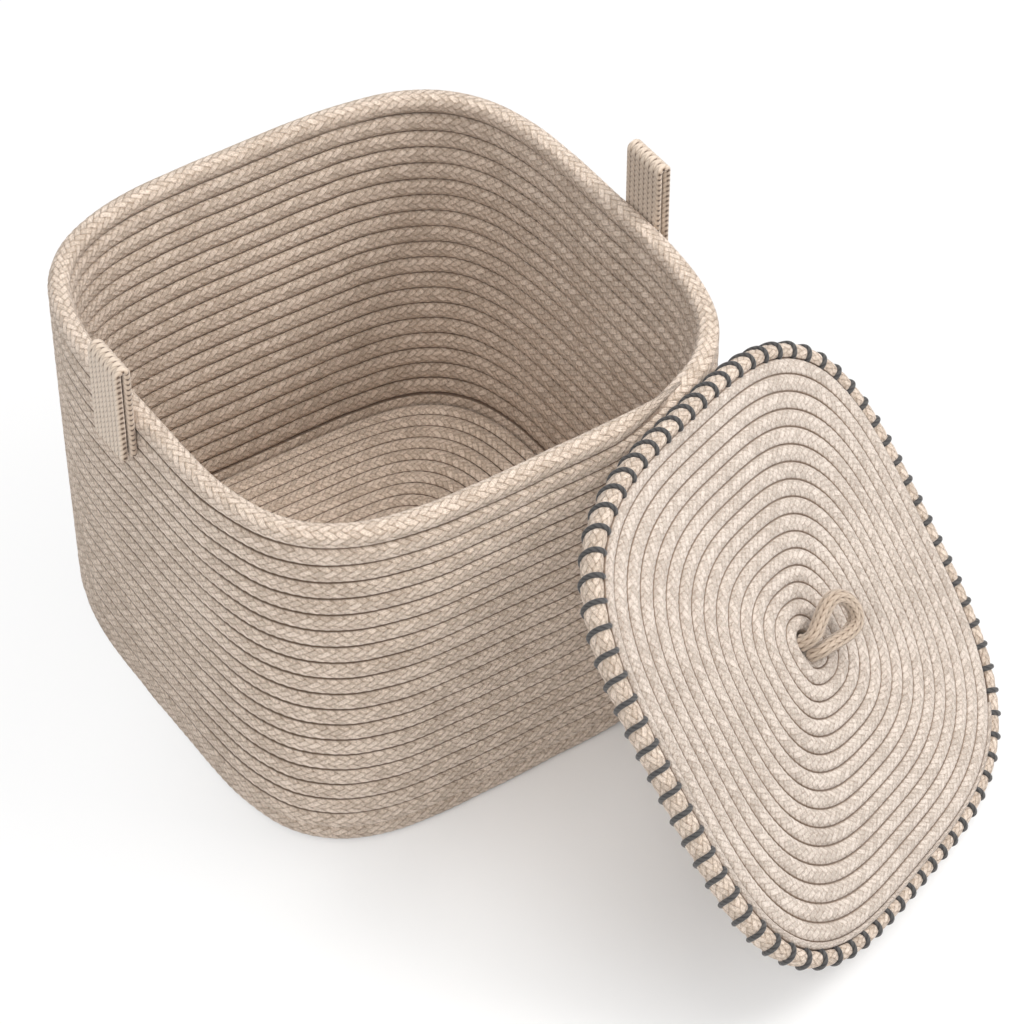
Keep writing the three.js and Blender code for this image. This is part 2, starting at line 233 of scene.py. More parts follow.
@dataclass(frozen=True)
class Ribs:
    """Ribs of chevrons that run along a strap or a flattened rope.

    VALLEY is a rib's height between two chevrons, and SLANT is how far a chevron's tip lies
    ahead of its ends, in pitches.

    Attributes:
        columns: ribs round the rope, or across the strap.
        pitch: length of one chevron, in millimetres.
        depth: how far ribs stand proud of the lines between them, in millimetres.
    """

    VALLEY = 0.55
    SLANT = 0.8

    columns: int
    pitch: float
    depth: float

    def height(self, along: np.ndarray, around: np.ndarray) -> np.ndarray:
        """Relief of the ribs, 0 between them and 1 on top.

        Args:
            along: distance along, counted in chevrons.
            around: place across, counted in ribs.

        Returns:
            The relief at each point.
        """
        centred = np.abs(2.0 * np.mod(around, 1.0) - 1.0)
        crest = np.sqrt(np.clip(1.0 - centred**2, 0.0, 1.0))
        wave = np.abs(np.sin(math.pi * (along + self.SLANT * centred)))
        return crest * (self.VALLEY + (1.0 - self.VALLEY) * wave)


@dataclass(frozen=True)
class RopeSpec:
    """How a rope is built.

    Attributes:
        across: half width, in millimetres.
        up: half height, in millimetres.
        squareness: power of the section, 2 for an oval and more for a squarer one.
        plait: the pattern on the rope.
        sides: faces round the rope.
        rings: rings of points in each pitch of the plait.
    """

    across: float
    up: float
    squareness: float
    plait: Plait | Ribs
    sides: int
    rings: float


@dataclass
class Path:
    """A line of points with the two directions of its section, all arrays of N by 3 in mm.

    Attributes:
        points: the middle of the rope.
        across: unit vectors across it.
        up: unit vectors up from it.
        scale: share of the full rope at each point.
        closed: whether the last point leads back to the first.
        width: half width at each point, where it isn't the rope's own.
        touch: how wide the painted seam shade is against the neighbour at the section's first
            side and at its opposite one, 0 for no neighbour and 1 for the usual seam, N by 2.
        power: squareness of the section at each point, where it isn't the rope's own.
    """

    points: np.ndarray
    across: np.ndarray
    up: np.ndarray
    scale: np.ndarray
    closed: bool = False
    width: np.ndarray | None = None
    touch: np.ndarray | None = None
    power: np.ndarray | None = None

    def lengths(self) -> np.ndarray:
        """Distance along the path at each point."""
        return lengths_along(self.points)

    def resampled(self, spacing: float) -> "Path":
        """The same path with points at an even spacing.

        Args:
            spacing: wanted distance between points, in millimetres.

        Returns:
            The resampled path.
        """
        closing = self.points[:1] if self.closed else self.points[:0]
        known = lengths_along(np.concatenate([self.points, closing]))
        count = max(4, int(round(known[-1] / spacing)))
        wanted = np.linspace(0.0, known[-1], count + 1)
        if self.closed:
            wanted = wanted[:-1]

        def even(values: np.ndarray | None) -> np.ndarray | None:
            """Values at the new points, or None where the path has none.

            Args:
                values: a row for each point of the path.

            Returns:
                A row for each new point.
            """
            if values is None:
                return None
            whole = np.concatenate([values, values[:1]]) if self.closed else values
            return sampled(wanted, known, whole)

        return Path(even(self.points), unit(even(self.across)), unit(even(self.up)),
                    even(self.scale), self.closed, even(self.width), even(self.touch),
                    even(self.power))


def unit(vectors: np.ndarray) -> np.ndarray:
    """Vectors scaled to a length of one."""
    return vectors / np.maximum(np.linalg.norm(vectors, axis=-1, keepdims=True), 1e-12)


def smooth(share: np.ndarray) -> np.ndarray:
    """A soft step from 0 to 1."""
    share = np.clip(share, 0.0, 1.0)
    return share * share * (3.0 - 2.0 * share)


def lengths_along(points: np.ndarray) -> np.ndarray:
    """Distance along a line at each of its points."""
    return np.concatenate([[0.0], np.cumsum(np.linalg.norm(np.diff(points, axis=0), axis=1))])


def sampled(wanted: np.ndarray, known: np.ndarray, values: np.ndarray) -> np.ndarray:
    """Values between the places where they are known.

    Args:
        wanted: the places asked for.
        known: the places of the values.
        values: a number or a row for each known place.

    Returns:
        A number or a row for each wanted place.
    """
    if values.ndim == 1:
        return np.interp(wanted, known, values)
    return np.stack([np.interp(wanted, known, column) for column in values.T], -1)


def section(cosine: np.ndarray, sine: np.ndarray, power: np.ndarray | float) -> np.ndarray:
    """Radius of a rounded square of half width 1, in the direction of a cosine and sine."""
    return (np.abs(cosine) ** power + np.abs(sine) ** power) ** (-1.0 / power)


def upright(count: int) -> np.ndarray:
    """A vector straight up for each of a number of points."""
    return np.tile([0.0, 0.0, 1.0], (count, 1))


def tube_faces(here: np.ndarray, after: np.ndarray, sides: int) -> np.ndarray:
    """Four-sided faces between rings of points, whose numbers count ring by ring.

    Args:
        here: the rings that faces start from.
        after: the ring that each one is joined to.
        sides: points in a ring.

    Returns:
        The numbers of each face's points, as an N by 4 array.
    """
    side = np.arange(sides)
    following = (side + 1) % sides
    corners = ((here, side), (here, following), (after, following), (after, side))
    return np.stack([ring[:, None] * sides + place for ring, place in corners],
                    -1).reshape(-1, 4)


class Waver:
    """Slow, repeatable unevenness of wound rope, most of it shared by neighbouring turns.

    WAVES is how many waves are added up, STRAY is how far each is off a whole number in a
    turn, and SWING brings their sum to about 1.
    """

    WAVES = 8
    STRAY = 0.06
    SWING = 0.6

    def __init__(self, seed: int, fewest: float, most: float) -> None:
        """Draws the waves.

        Args:
            seed: number that fixes the unevenness.
            fewest: waves in each turn of the longest wave.
            most: waves in each turn of the shortest wave.
        """
        draw = np.random.default_rng(seed)
        counts = np.unique(np.geomspace(fewest, most, self.WAVES).round())
        self.counts = counts + draw.uniform(-self.STRAY, self.STRAY, len(counts))
        self.phases = draw.uniform(0.0, TURN, len(counts))
        self.heights = counts**-0.5
        self.heights *= self.SWING / np.sqrt(np.sum(self.heights**2) / 2.0)

    def __call__(self, turn: np.ndarray) -> np.ndarray:
        """Unevenness at each turn, about -1 to 1."""
        return np.sin(TURN * turn[..., None] * self.counts + self.phases) @ self.heights


class SquarePlan:
    """Rounded squares, seen from above."""

    @staticmethod
    def point(half: np.ndarray, power: np.ndarray, angle: np.ndarray) -> np.ndarray:
        """Points on rounded squares.

        Args:
            half: half the width, in millimetres.
            power: how square the plan is, 2 for a circle.
            angle: direction from the middle, in radians.

        Returns:
            Points as an N by 3 array with z of 0.
        """
        cosine, sine = np.cos(angle), np.sin(angle)
        radius = half * section(cosine, sine, power)
        return np.stack([radius * cosine, radius * sine, np.zeros_like(radius)], -1)

    @staticmethod
    def normal(power: np.ndarray, angle: np.ndarray) -> np.ndarray:
        """Outward directions of rounded squares, in the plan.

        Args:
            power: how square the plan is, 2 for a circle.
            angle: direction from the middle, in radians.

        Returns:
            Unit vectors as an N by 3 array.
        """
        cosine, sine = np.cos(angle), np.sin(angle)
        across = np.sign(cosine) * np.abs(cosine) ** (power - 1.0)
        along = np.sign(sine) * np.abs(sine) ** (power - 1.0)
        return unit(np.stack([across, along, np.zeros_like(across)], -1))


@dataclass
class MeshData:
    """Points and four-sided faces of a mesh, with a map of the plait on it."""

    points: np.ndarray
    faces: np.ndarray
    chart: np.ndarray
    touch: np.ndarray | None = None

    def to_object(self, name: str) -> bpy.types.Object:
        """Makes a Blender object of the mesh, at the origin.

        Args:
            name: the object's name.

        Returns:
            The new object, linked to the scene.
        """
        mesh = bpy.data.meshes.new(name)
        count = len(self.faces)
        mesh.vertices.add(len(self.points))
        mesh.vertices.foreach_set("co", (self.points * MM).astype(np.float32).ravel())
        mesh.loops.add(count * 4)
        mesh.loops.foreach_set("vertex_index", self.faces.astype(np.int32).ravel())
        mesh.polygons.add(count)
        mesh.polygons.foreach_set("loop_start", np.arange(0, count * 4, 4, dtype=np.int32))
        mesh.polygons.foreach_set("use_smooth", np.ones(count, dtype=bool))
        touch = np.zeros_like(self.chart) if self.touch is None else self.touch
        # The Touch map gives the width of the painted seam shade.
        for title, values in (("Plait", self.chart), ("Touch", touch)):
            layer = mesh.uv_layers.new(name=title)
            layer.data.foreach_set("uv", values.astype(np.float32).ravel())
        mesh.update(calc_edges=True)
        mesh.validate()
        made = bpy.data.objects.new(name, mesh)
        bpy.context.scene.collection.objects.link(made)
        return made


class RopeSweep:
    """Sweeps a plaited rope along a path.

    MEAN is the plait's relief at the rope's own width, so that strands stand above it.
    """

    MEAN = 0.6

    def __init__(self, spec: RopeSpec, start_at: float = 0.0) -> None:
        """Keeps how the rope is built.

        Args:
            spec: the rope.
            start_at: turn of the section's first point, in radians from across to up. It is
                put where neighbouring ropes touch, so that the map's seam is hidden.
        """
        self.spec = spec
        self.start_at = start_at

    def meshes(self, path: Path, pieces: int = 1) -> list[MeshData]:
        """Builds the rope as one or more meshes, end to end.

        Args:
            path: the line that the rope follows.
            pieces: number of meshes.

        Returns:
            The meshes in order.
        """
        spec = self.spec
        plait = spec.plait
        spacing = plait.pitch / spec.rings
        even = path.resampled(spacing)
        rings = len(even.points)
        pitches = rings * spacing / plait.pitch
        along = np.arange(rings) * spacing / plait.pitch
        if path.closed:
            along *= 2 * round(pitches / 2) / pitches
        turns = np.arange(spec.sides) / spec.sides
        angle = self.start_at + turns * TURN
        cosine, sine = np.cos(angle), np.sin(angle)
        power = spec.squareness if even.power is None else even.power[:, None]
        radius = section(cosine, sine, power)
        relief = plait.height(along[:, None], (turns * plait.columns)[None, :]) - self.MEAN
        relief *= plait.depth
        width = np.full(rings, spec.across) if even.width is None else even.width
        scale = even.scale[:, None]
        side = cosine * (width[:, None] * radius + relief) * scale
        rise = sine * (spec.up * radius + relief) * scale
        points = (even.points[:, None] + side[..., None] * even.across[:, None]
                  + rise[..., None] * even.up[:, None])
        ends = rings if path.closed else rings - 1
        cuts = np.linspace(0, ends, pieces + 1).round().astype(int)
        touch = np.zeros((rings, 2)) if even.touch is None else even.touch
        return [self._piece(points, along, touch, cuts[k], cuts[k + 1], path.closed)
                for k in range(pieces)]

    def _piece(self, points: np.ndarray, along: np.ndarray, touch: np.ndarray, first: int,
               last: int, closed: bool) -> MeshData:
        """One mesh, from one ring to another.

        Args:
            points: the whole rope's points, ring by ring.
            along: distance along at each ring, in pitches.
            touch: width of both painted seam shades at each ring.
            first: the ring that the mesh starts at.
            last: the ring that it ends at.
            closed: whether the rope's last ring leads back to its first.

        Returns:
            The mesh, closed at both ends unless the rope runs round.
        """
        sides = self.spec.sides
        ring_ids = np.arange(first, last + 1)
        if closed:
            ring_ids = ring_ids % len(points)
            if last - first == len(points):
                ring_ids = ring_ids[:-1]
        block = points[ring_ids].reshape(-1, 3)
        here = np.arange(last - first)
        faces = tube_faces(here, (here + 1) % len(ring_ids), sides)
        step = along[1] - along[0]
        column = self.spec.plait.columns / sides
        start = along[ring_ids[0]] + here * step
        grid = np.stack(np.broadcast_arrays(start[:, None], np.arange(sides) * column), -1)
        corners = np.array([[0.0, 0.0], [0.0, column], [step, column], [step, 0.0]])
        chart = (grid[:, :, None] + corners).reshape(-1, 2)
        beside = np.repeat(touch[ring_ids[:len(here)]], sides * 4, axis=0)
        if not closed:
            block, faces, chart = self._capped(block, faces, chart)
            beside = np.concatenate([beside, np.zeros((len(chart) - len(beside), 2))])
        return MeshData(block, faces, chart, beside)

    def _capped(self, block: np.ndarray, faces: np.ndarray,
                chart: np.ndarray) -> tuple[np.ndarray, np.ndarray, np.ndarray]:
        """Closes both ends of a rope with faces that meet in the middle.

        Args:
            block: the rope's points.
            faces: its faces.
            chart: its map.

        Returns:
            All three, with the ends added.
        """
        sides = self.spec.sides
        end = len(block) // sides - 1
        pairs = np.arange(0, sides - 1, 2)
        fan = np.stack([pairs, pairs + 1, (pairs + 2) % sides], -1)
        for ring, turned in ((0, True), (end, False)):
            middle = block[ring * sides:(ring + 1) * sides].mean(axis=0)
            hub = np.full((len(fan), 1), len(block))
            quads = np.concatenate([fan + ring * sides, hub], -1)
            block = np.concatenate([block, middle[None]])
            faces = np.concatenate([faces, quads[:, ::-1] if turned else quads])
            chart = np.concatenate([chart, np.zeros((len(quads) * 4, 2))])
        return block, faces, chart


class Graph:
    """A small helper for building shader nodes.

    SHINE is the strength of mirror light on fibres, and FUZZ is how rough their sheen is.
    """

    SHINE = 0.18
    FUZZ = 0.6

    def __init__(self, name: str) -> None:
        """Starts an empty material of the given name."""
        self.material = bpy.data.materials.new(name)
        self.material.use_nodes = True
        self.tree = self.material.node_tree
        self.tree.nodes.clear()

    def node(self, kind: str, **settings: str | bool) -> bpy.types.Node:
        """Adds a node.

        Args:
            kind: the node's type.
            settings: properties to set on it.

        Returns:
            The node.
        """
        made = self.tree.nodes.new(kind)
        for key, value in settings.items():
            setattr(made, key, value)
        return made

    def put(self, socket: Socket, value: Value) -> None:
        """Links a socket, or sets its value.

        Args:
            socket: the input.
            value: another node's output, or a plain value.
        """
        if isinstance(value, bpy.types.NodeSocket):
            self.tree.links.new(value, socket)
        else:
            socket.default_value = value

    def math(self, operation: str, *values: Value, clamp: bool = False) -> Socket:
        """Adds a math node.

        Args:
            operation: what it does.
            values: its inputs.
            clamp: whether the result is kept from 0 to 1.

        Returns:
            Its output.
        """
        made = self.node("ShaderNodeMath", operation=operation, use_clamp=clamp)
        for socket, value in zip(made.inputs, values):
            self.put(socket, value)
        return made.outputs[0]

    def plus(self, first: Value, second: Value) -> Socket:
        """Adds a sum of two values."""
        return self.math("ADD", first, second)

    def minus(self, first: Value, second: Value) -> Socket:
        """Adds the difference of two values."""
        return self.math("SUBTRACT", first, second)

    def times(self, first: Value, second: Value) -> Socket:
        """Adds a product of two values."""
        return self.math("MULTIPLY", first, second)

    def dome(self, centred: Socket) -> Socket:
        """Adds a round rise, 1 where a value is 0 and 0 where it is 1 or -1."""
        return self.math("SQRT", self.math("SUBTRACT", 1.0, self.times(centred, centred),
                                           clamp=True))

    def wave(self, turns: Socket) -> Socket:
        """Adds humps from 0 to 1, one for each whole number."""
        return self.math("ABSOLUTE", self.math("SINE", self.times(turns, math.pi)))

    def ranged(self, value: Value, low: Value, high: Value, to_low: float = 0.0,
               to_high: float = 1.0) -> Socket:
        """Adds a smooth map of a value from one range to another.

        Args:
            value: the value.
            low: where its range starts.
            high: where it ends.
            to_low: result at the start.
            to_high: result at the end.

        Returns:
            The mapped value.
        """
        made = self.node("ShaderNodeMapRange", interpolation_type="SMOOTHSTEP")
        for socket, entry in zip(made.inputs, (value, low, high, to_low, to_high)):
            self.put(socket, entry)
        return made.outputs[0]

    def either(self, choice: Value, when_off: Value, when_on: Value) -> Socket:
        """Adds a blend of two numbers by a third.

        Args:
            choice: share of the second number.
            when_off: the first number.
            when_on: the second number.

        Returns:
            The blend.
        """
        made = self.node("ShaderNodeMix", data_type="FLOAT", clamp_factor=True)
        for title, value in (("Factor", choice), ("A", when_off), ("B", when_on)):
            self.put(made.inputs[title], value)
        return made.outputs["Result"]

    def tint(self, share: Value, first: Value, second: Value) -> Socket:
        """Adds a blend of two colours.

        Args:
            share: share of the second colour.
            first: the first colour.
            second: the second colour.

        Returns:
            The blend.
        """
        made = self.node("ShaderNodeMix", data_type="RGBA", clamp_factor=True)
        self.put(made.inputs["Factor"], share)
        self.put(made.inputs[6], first)
        self.put(made.inputs[7], second)
        return made.outputs[2]

    def noise(self, scale: float, detail: float, roughness: float = 0.5) -> Socket:
        """Adds a noise in object space.

        Args:
            scale: how fine it is, in waves to the metre.
            detail: number of finer noises on top.
            roughness: how strong those are.

        Returns:
            The noise, about 0 to 1.
        """
        made = self.node("ShaderNodeTexNoise")
        made.inputs["Scale"].default_value = scale
        made.inputs["Detail"].default_value = detail
        made.inputs["Roughness"].default_value = roughness
        self.put(made.inputs["Vector"], self.node("ShaderNodeTexCoord").outputs["Object"])
        return made.outputs["Fac"]

    def chart(self, title: str) -> tuple[Socket, Socket]:
        """Adds one of the mesh's maps and returns its two values."""
        parts = self.node("ShaderNodeSeparateXYZ")
        self.put(parts.inputs[0], self.node("ShaderNodeUVMap", uv_map=title).outputs[0])
        return parts.outputs[0], parts.outputs[1]

    def bump(self, height: Socket, strength: float, depth: float) -> Socket:
        """Adds relief to the shading.

        Args:
            height: the relief.
            strength: how strongly it is shown, 0 to 1.
            depth: depth of a height of one, in millimetres.

        Returns:
            The changed normal.
        """
        made = self.node("ShaderNodeBump")
        made.inputs["Strength"].default_value = strength
        made.inputs["Distance"].default_value = depth * MM
        self.put(made.inputs["Height"], height)
        return made.outputs[0]

    def finish(self, colour: Value, roughness: float, normal: Socket,
               sheen: float = 0.0) -> bpy.types.Material:
        """Adds the surface shader.

        Args:
            colour: the surface's colour.
            roughness: its roughness.
            normal: its relief.
            sheen: strength of the light that its fibres catch.

        Returns:
            The finished material.
        """
        surface = self.node("ShaderNodeBsdfPrincipled")
        values = {"Base Color": colour, "Roughness": roughness, "Normal": normal,
                  "Specular IOR Level": self.SHINE, "Sheen Weight": sheen,
                  "Sheen Roughness": self.FUZZ}
        for title, value in values.items():
            self.put(surface.inputs[title], value)
        output = self.node("ShaderNodeOutputMaterial")
        self.put(output.inputs["Surface"], surface.outputs[0])
        return self.material


@dataclass(frozen=True)
class RopeFinish:
    """Colours and relief of a plaited rope's surface, with painted light on the strands' tops and
    painted shade on their flanks, in the gaps and in the seams between turns.

    WANDER is how far strands stray along the rope, in pitches, and SIDEWAYS is the share of
    that round it. YARNS is the number of yarns in a strand, and DEEP is the share of the painted
    seam shade's reach where it is fully dark.

    Attributes:
        name: name of the material.
        light: colour on top of the strands, lighter than shade as painted light.
        shade: colour on their flanks, darker as painted shade.
        gap: colour of the painted shade between strands and between yarns, and of dark specks.
        seam: colour of the painted shade deep between neighbouring turns.
        relief: depth of the strands' shading, in millimetres.
        seam_reach: how far the painted seam shade reaches round the rope, 0 to 1.
        gap_share: how strongly the painted shade in the gaps between strands is drawn, 0 to 1.
        seam_turn: how far round the rope the painted seam shade is moved, in radians.
    """

    WANDER = 0.34
    SIDEWAYS = 0.6
    YARNS = 4.0
    DEEP = 0.7

    name: str
    light: Colour
    shade: Colour
    gap: Colour
    seam: Colour
    relief: float
    seam_reach: float
    gap_share: float
    seam_turn: float = 0.0

    def material(self, plait: Plait) -> bpy.types.Material:
        """Builds the rope's material on the plait's own map.

        Args:
            plait: the plait that the map counts.

        Returns:
            The material.
        """
        graph = Graph(self.name)
        height, yarns, strand = self._weave(graph)
        fibres = graph.noise(1300.0, 4.0, 0.75)
        rough = graph.plus(graph.times(yarns, 0.14), graph.times(fibres, 0.9))
        relief = graph.bump(graph.plus(height, rough), 1.0, self.relief)
        # Painted shade in the gaps between strands, made patchy by a noise.
        gaps = graph.ranged(height, 0.05, 0.36, self.gap_share, 0.0)
        patchy = graph.ranged(graph.noise(420.0, 2.0), 0.36, 0.62, 0.3, 1.0)
        # Painted shade between the yarns of each strand.
        between = graph.ranged(yarns, -1.0, -0.4, 0.34 * self.gap_share, 0.0)
        specks = graph.ranged(graph.noise(1500.0, 2.0), 0.62, 0.72, 0.0, 0.5)
        colour = self._cotton(graph, height, strand)
        for share in (graph.times(gaps, patchy), between, specks):
            colour = graph.tint(share, colour, self.gap)
        # Painted shade in the seams against neighbouring turns.
        colour = graph.tint(self._painted_seam_shade(graph, plait.columns), colour, self.seam)
        return graph.finish(colour, 0.92, relief, 0.25)

    def _weave(self, graph: Graph) -> tuple[Socket, Socket, Socket]:
        """Adds the plait, over two and under two as in the rope's own relief.

        Args:
            graph: the material.

        Returns:
            Height on the strands, the yarns' waves across them, and each strand's number.
        """
        along, around = graph.chart("Plait")
        drift = graph.times(graph.minus(graph.noise(190.0, 1.0), 0.5), self.WANDER)
        along = graph.plus(along, drift)
        around = graph.plus(around, graph.times(drift, self.SIDEWAYS))
        first = graph.plus(around, along)
        second = graph.minus(around, along)
        first_cell = graph.math("FLOOR", first)
        second_cell = graph.math("FLOOR", second)
        kind = graph.math("FLOORED_MODULO", graph.plus(first_cell, second_cell), 4.0)
        over = graph.math("LESS_THAN", kind, 1.5)
        first_in = graph.minus(first, first_cell)
        second_in = graph.minus(second, second_cell)
        across = graph.either(over, second_in, first_in)
        inside = graph.either(over, first_in, second_in)
        counted = graph.either(over, graph.minus(kind, 2.0), kind)
        share = graph.times(graph.plus(counted, inside), 0.5)
        bow = graph.math("SINE", graph.times(share, math.pi))
        arch = graph.math("MULTIPLY", bow, 1.6, clamp=True)
        crown = graph.dome(graph.minus(graph.times(across, 2.0), 1.0))
        height = graph.times(crown, graph.either(arch, 0.25, 1.0))
        yarns = graph.math("SINE", graph.times(across, TURN * self.YARNS))
        number = graph.either(over, second_cell, first_cell)
        return height, yarns, graph.plus(number, graph.times(over, 0.5))

    def _cotton(self, graph: Graph, height: Socket, strand: Socket) -> Socket:
        """Adds the cotton's colour, a little different at each place and on each strand, with
        painted light on the strands' tops and painted shade on their flanks.

        Args:
            graph: the material.
            height: height on the strands.
            strand: each strand's number.

        Returns:
            The colour.
        """
        each = graph.node("ShaderNodeTexWhiteNoise", noise_dimensions="1D")
        graph.put(each.inputs["W"], strand)
        broad = graph.times(graph.noise(34.0, 3.0), 0.14)
        fine = graph.times(graph.noise(850.0, 3.0, 0.65), 0.72)
        tone = graph.plus(graph.plus(broad, fine), graph.times(each.outputs["Value"], 0.14))
        # Painted shade on the flanks of the strands and painted light on their tops.
        body = graph.tint(graph.ranged(height, 0.25, 0.95), self.shade, self.light)
        warm = graph.node("ShaderNodeHueSaturation")
        graph.put(warm.inputs["Color"], body)
        graph.put(warm.inputs["Value"], graph.ranged(tone, 0.36, 0.64, 0.76, 1.20))
        graph.put(warm.inputs["Saturation"], graph.ranged(tone, 0.34, 0.66, 1.16, 0.90))
        return warm.outputs[0]

    def _painted_seam_shade(self, graph: Graph, columns: int) -> Socket:
        """Adds the painted seam shade against both neighbours, as wide as the Touch map says.

        Args:
            graph: the material.
            columns: strands of each direction round the rope.

        Returns:
            How deep in a seam each place is, 0 to 1.
        """
        turned = graph.times(graph.chart("Plait")[1], TURN / columns)
        reaches = graph.chart("Touch")

        def beside_one(shift: float, reach: Socket) -> Socket:
            """Adds the painted seam shade against one neighbour.

            Args:
                shift: turn of that side from the section's first side, in radians.
                reach: the seam's width, 1 for the usual one.

            Returns:
                How deep in the seam each place is, 0 to 1.
            """
            facing = graph.math("COSINE", graph.plus(turned, shift))
            edge = graph.minus(1.0, graph.times(reach, self.seam_reach))
            deep = graph.minus(1.0, graph.times(reach, self.DEEP * self.seam_reach))
            return graph.times(graph.ranged(facing, edge, deep),
                               graph.math("MINIMUM", reach, 1.0))

        return graph.math("MAXIMUM", beside_one(-self.seam_turn, reaches[0]),
                          beside_one(math.pi + self.seam_turn, reaches[1]))


@dataclass(frozen=True)
class CordFinish:
    """Colours of the smooth, dark whip cord, with painted shade between its plies."""

    name: str = "charcoal_cord"
    # light and dark are the colours on the plies' crests and, as painted shade, in the grooves
    # between them, mixed at random by the fibres.
    light: Colour = (0.088, 0.085, 0.084, 1.0)
    dark: Colour = (0.030, 0.029, 0.030, 1.0)

    def material(self) -> bpy.types.Material:
        """Builds the cord's material: plies with fine fibres along them, painted shade between
        the plies, and a dull wax.

        Returns:
            The material.
        """
        graph = Graph(self.name)
        ply = graph.wave(graph.plus(*graph.chart("Plait")))
        fibre = graph.noise(1900.0, 4.0, 0.7)
        relief = graph.bump(graph.plus(ply, graph.times(fibre, 0.5)), 0.4, 0.16)
        # Painted shade in the grooves between plies, varied at random by the fibres.
        tone = graph.times(graph.ranged(ply, 0.1, 0.9), graph.ranged(fibre, 0.3, 0.7, 0.5, 1.0))
        return graph.finish(graph.tint(tone, self.dark, self.light), 0.55, relief, 0.15)


@dataclass(frozen=True)
class WebbingFinish:
    """Colours of the ribbed webbing, with painted light on the ribs' tops and painted shade on
    their flanks and between them. WANDER is how far its chevrons stray, in pitches.
    """

    WANDER = 0.3

    name: str = "ribbed_webbing"
    # light is painted light on the ribs' tops, shade painted shade on their flanks, and gap the
    # painted shade between ribs and chevrons.
    light: Colour = (0.66, 0.55, 0.45, 1.0)
    shade: Colour = (0.50, 0.39, 0.30, 1.0)
    gap: Colour = (0.10, 0.062, 0.040, 1.0)

    def material(self) -> bpy.types.Material:
        """Builds the webbing's material: ribs of chevrons with dots and lines of painted shade
        between them.

        Returns:
            The material. Its map counts chevrons along the strap and ribs across it.
        """
        graph = Graph(self.name)
        along, around = graph.chart("Plait")
        drift = graph.times(graph.minus(graph.noise(230.0, 1.0), 0.5), self.WANDER)
        across = graph.math("FRACT", graph.plus(around, graph.times(drift, 0.25)))
        centred = graph.math("ABSOLUTE", graph.minus(graph.times(across, 2.0), 1.0))
        wave = graph.wave(graph.plus(graph.plus(along, drift), graph.times(centred, Ribs.SLANT)))
        height = graph.times(graph.dome(centred), graph.either(wave, 0.45, 1.0))
        fibre = graph.noise(2600.0, 3.0, 0.7)
        relief = graph.bump(graph.plus(height, graph.times(fibre, 0.2)), 1.0, 0.5)
        # Painted shade on the ribs' flanks and painted light on their tops.
        body = graph.tint(graph.ranged(height, 0.2, 0.9), self.shade, self.light)
        # Dots and lines of painted shade between the ribs and between the chevrons.
        dots = graph.times(graph.ranged(centred, 0.72, 0.95), graph.ranged(wave, 0.75, 0.35))
        lines = graph.times(graph.ranged(wave, 0.28, 0.02), 0.25)
        colour = graph.tint(graph.math("MAXIMUM", dots, lines), body, self.gap)
        return graph.finish(colour, 0.92, relief, 0.25)


class Finishes:
    """The materials, each made once."""

    WALL = RopeFinish(
        name="cotton_wall_rope", light=(0.800, 0.669, 0.560, 1.0),
        shade=(0.638, 0.504, 0.395, 1.0), gap=(0.200, 0.120, 0.074, 1.0),
        seam=(0.200, 0.132, 0.090, 1.0), relief=0.75, seam_reach=0.26, gap_share=0.95,
        seam_turn=-0.03)
    # BASE is the same thin rope as LID in lighter colours: painted light inside the basket.
    BASE = RopeFinish(
        name="cotton_base_rope", light=(0.820, 0.690, 0.575, 1.0),
        shade=(0.680, 0.542, 0.430, 1.0), gap=(0.220, 0.136, 0.088, 1.0),
        seam=(0.190, 0.122, 0.082, 1.0), relief=0.44, seam_reach=0.19, gap_share=0.8)
    # LID is the same thin rope as BASE in darker colours: painted shade on the lid.
    LID = RopeFinish(
        name="cotton_lid_rope", light=(0.620, 0.541, 0.476, 1.0),
        shade=(0.546, 0.460, 0.393, 1.0), gap=(0.230, 0.150, 0.102, 1.0),
        seam=(0.320, 0.232, 0.170, 1.0), relief=0.40, seam_reach=0.22, gap_share=0.75)
    # LOOP is the webbing's finish in darker colours: painted shade on the pull loop.
    LOOP = WebbingFinish(
        name="ribbed_loop_rope", light=(0.50, 0.40, 0.315, 1.0),
        shade=(0.36, 0.275, 0.205, 1.0), gap=(0.13, 0.083, 0.054, 1.0))

    def __init__(self, wall: Plait, panel: Plait) -> None:
        """Makes the materials.

        Args:
            wall: the plait of the thick rope.
            panel: the plait of the thin rope.
        """
        self.wall = self.WALL.material(wall)
        self.base = self.BASE.material(panel)
        self.lid = self.LID.material(panel)
        self.cord = CordFinish().material()
        self.webbing = WebbingFinish().material()
        self.loop = self.LOOP.material()


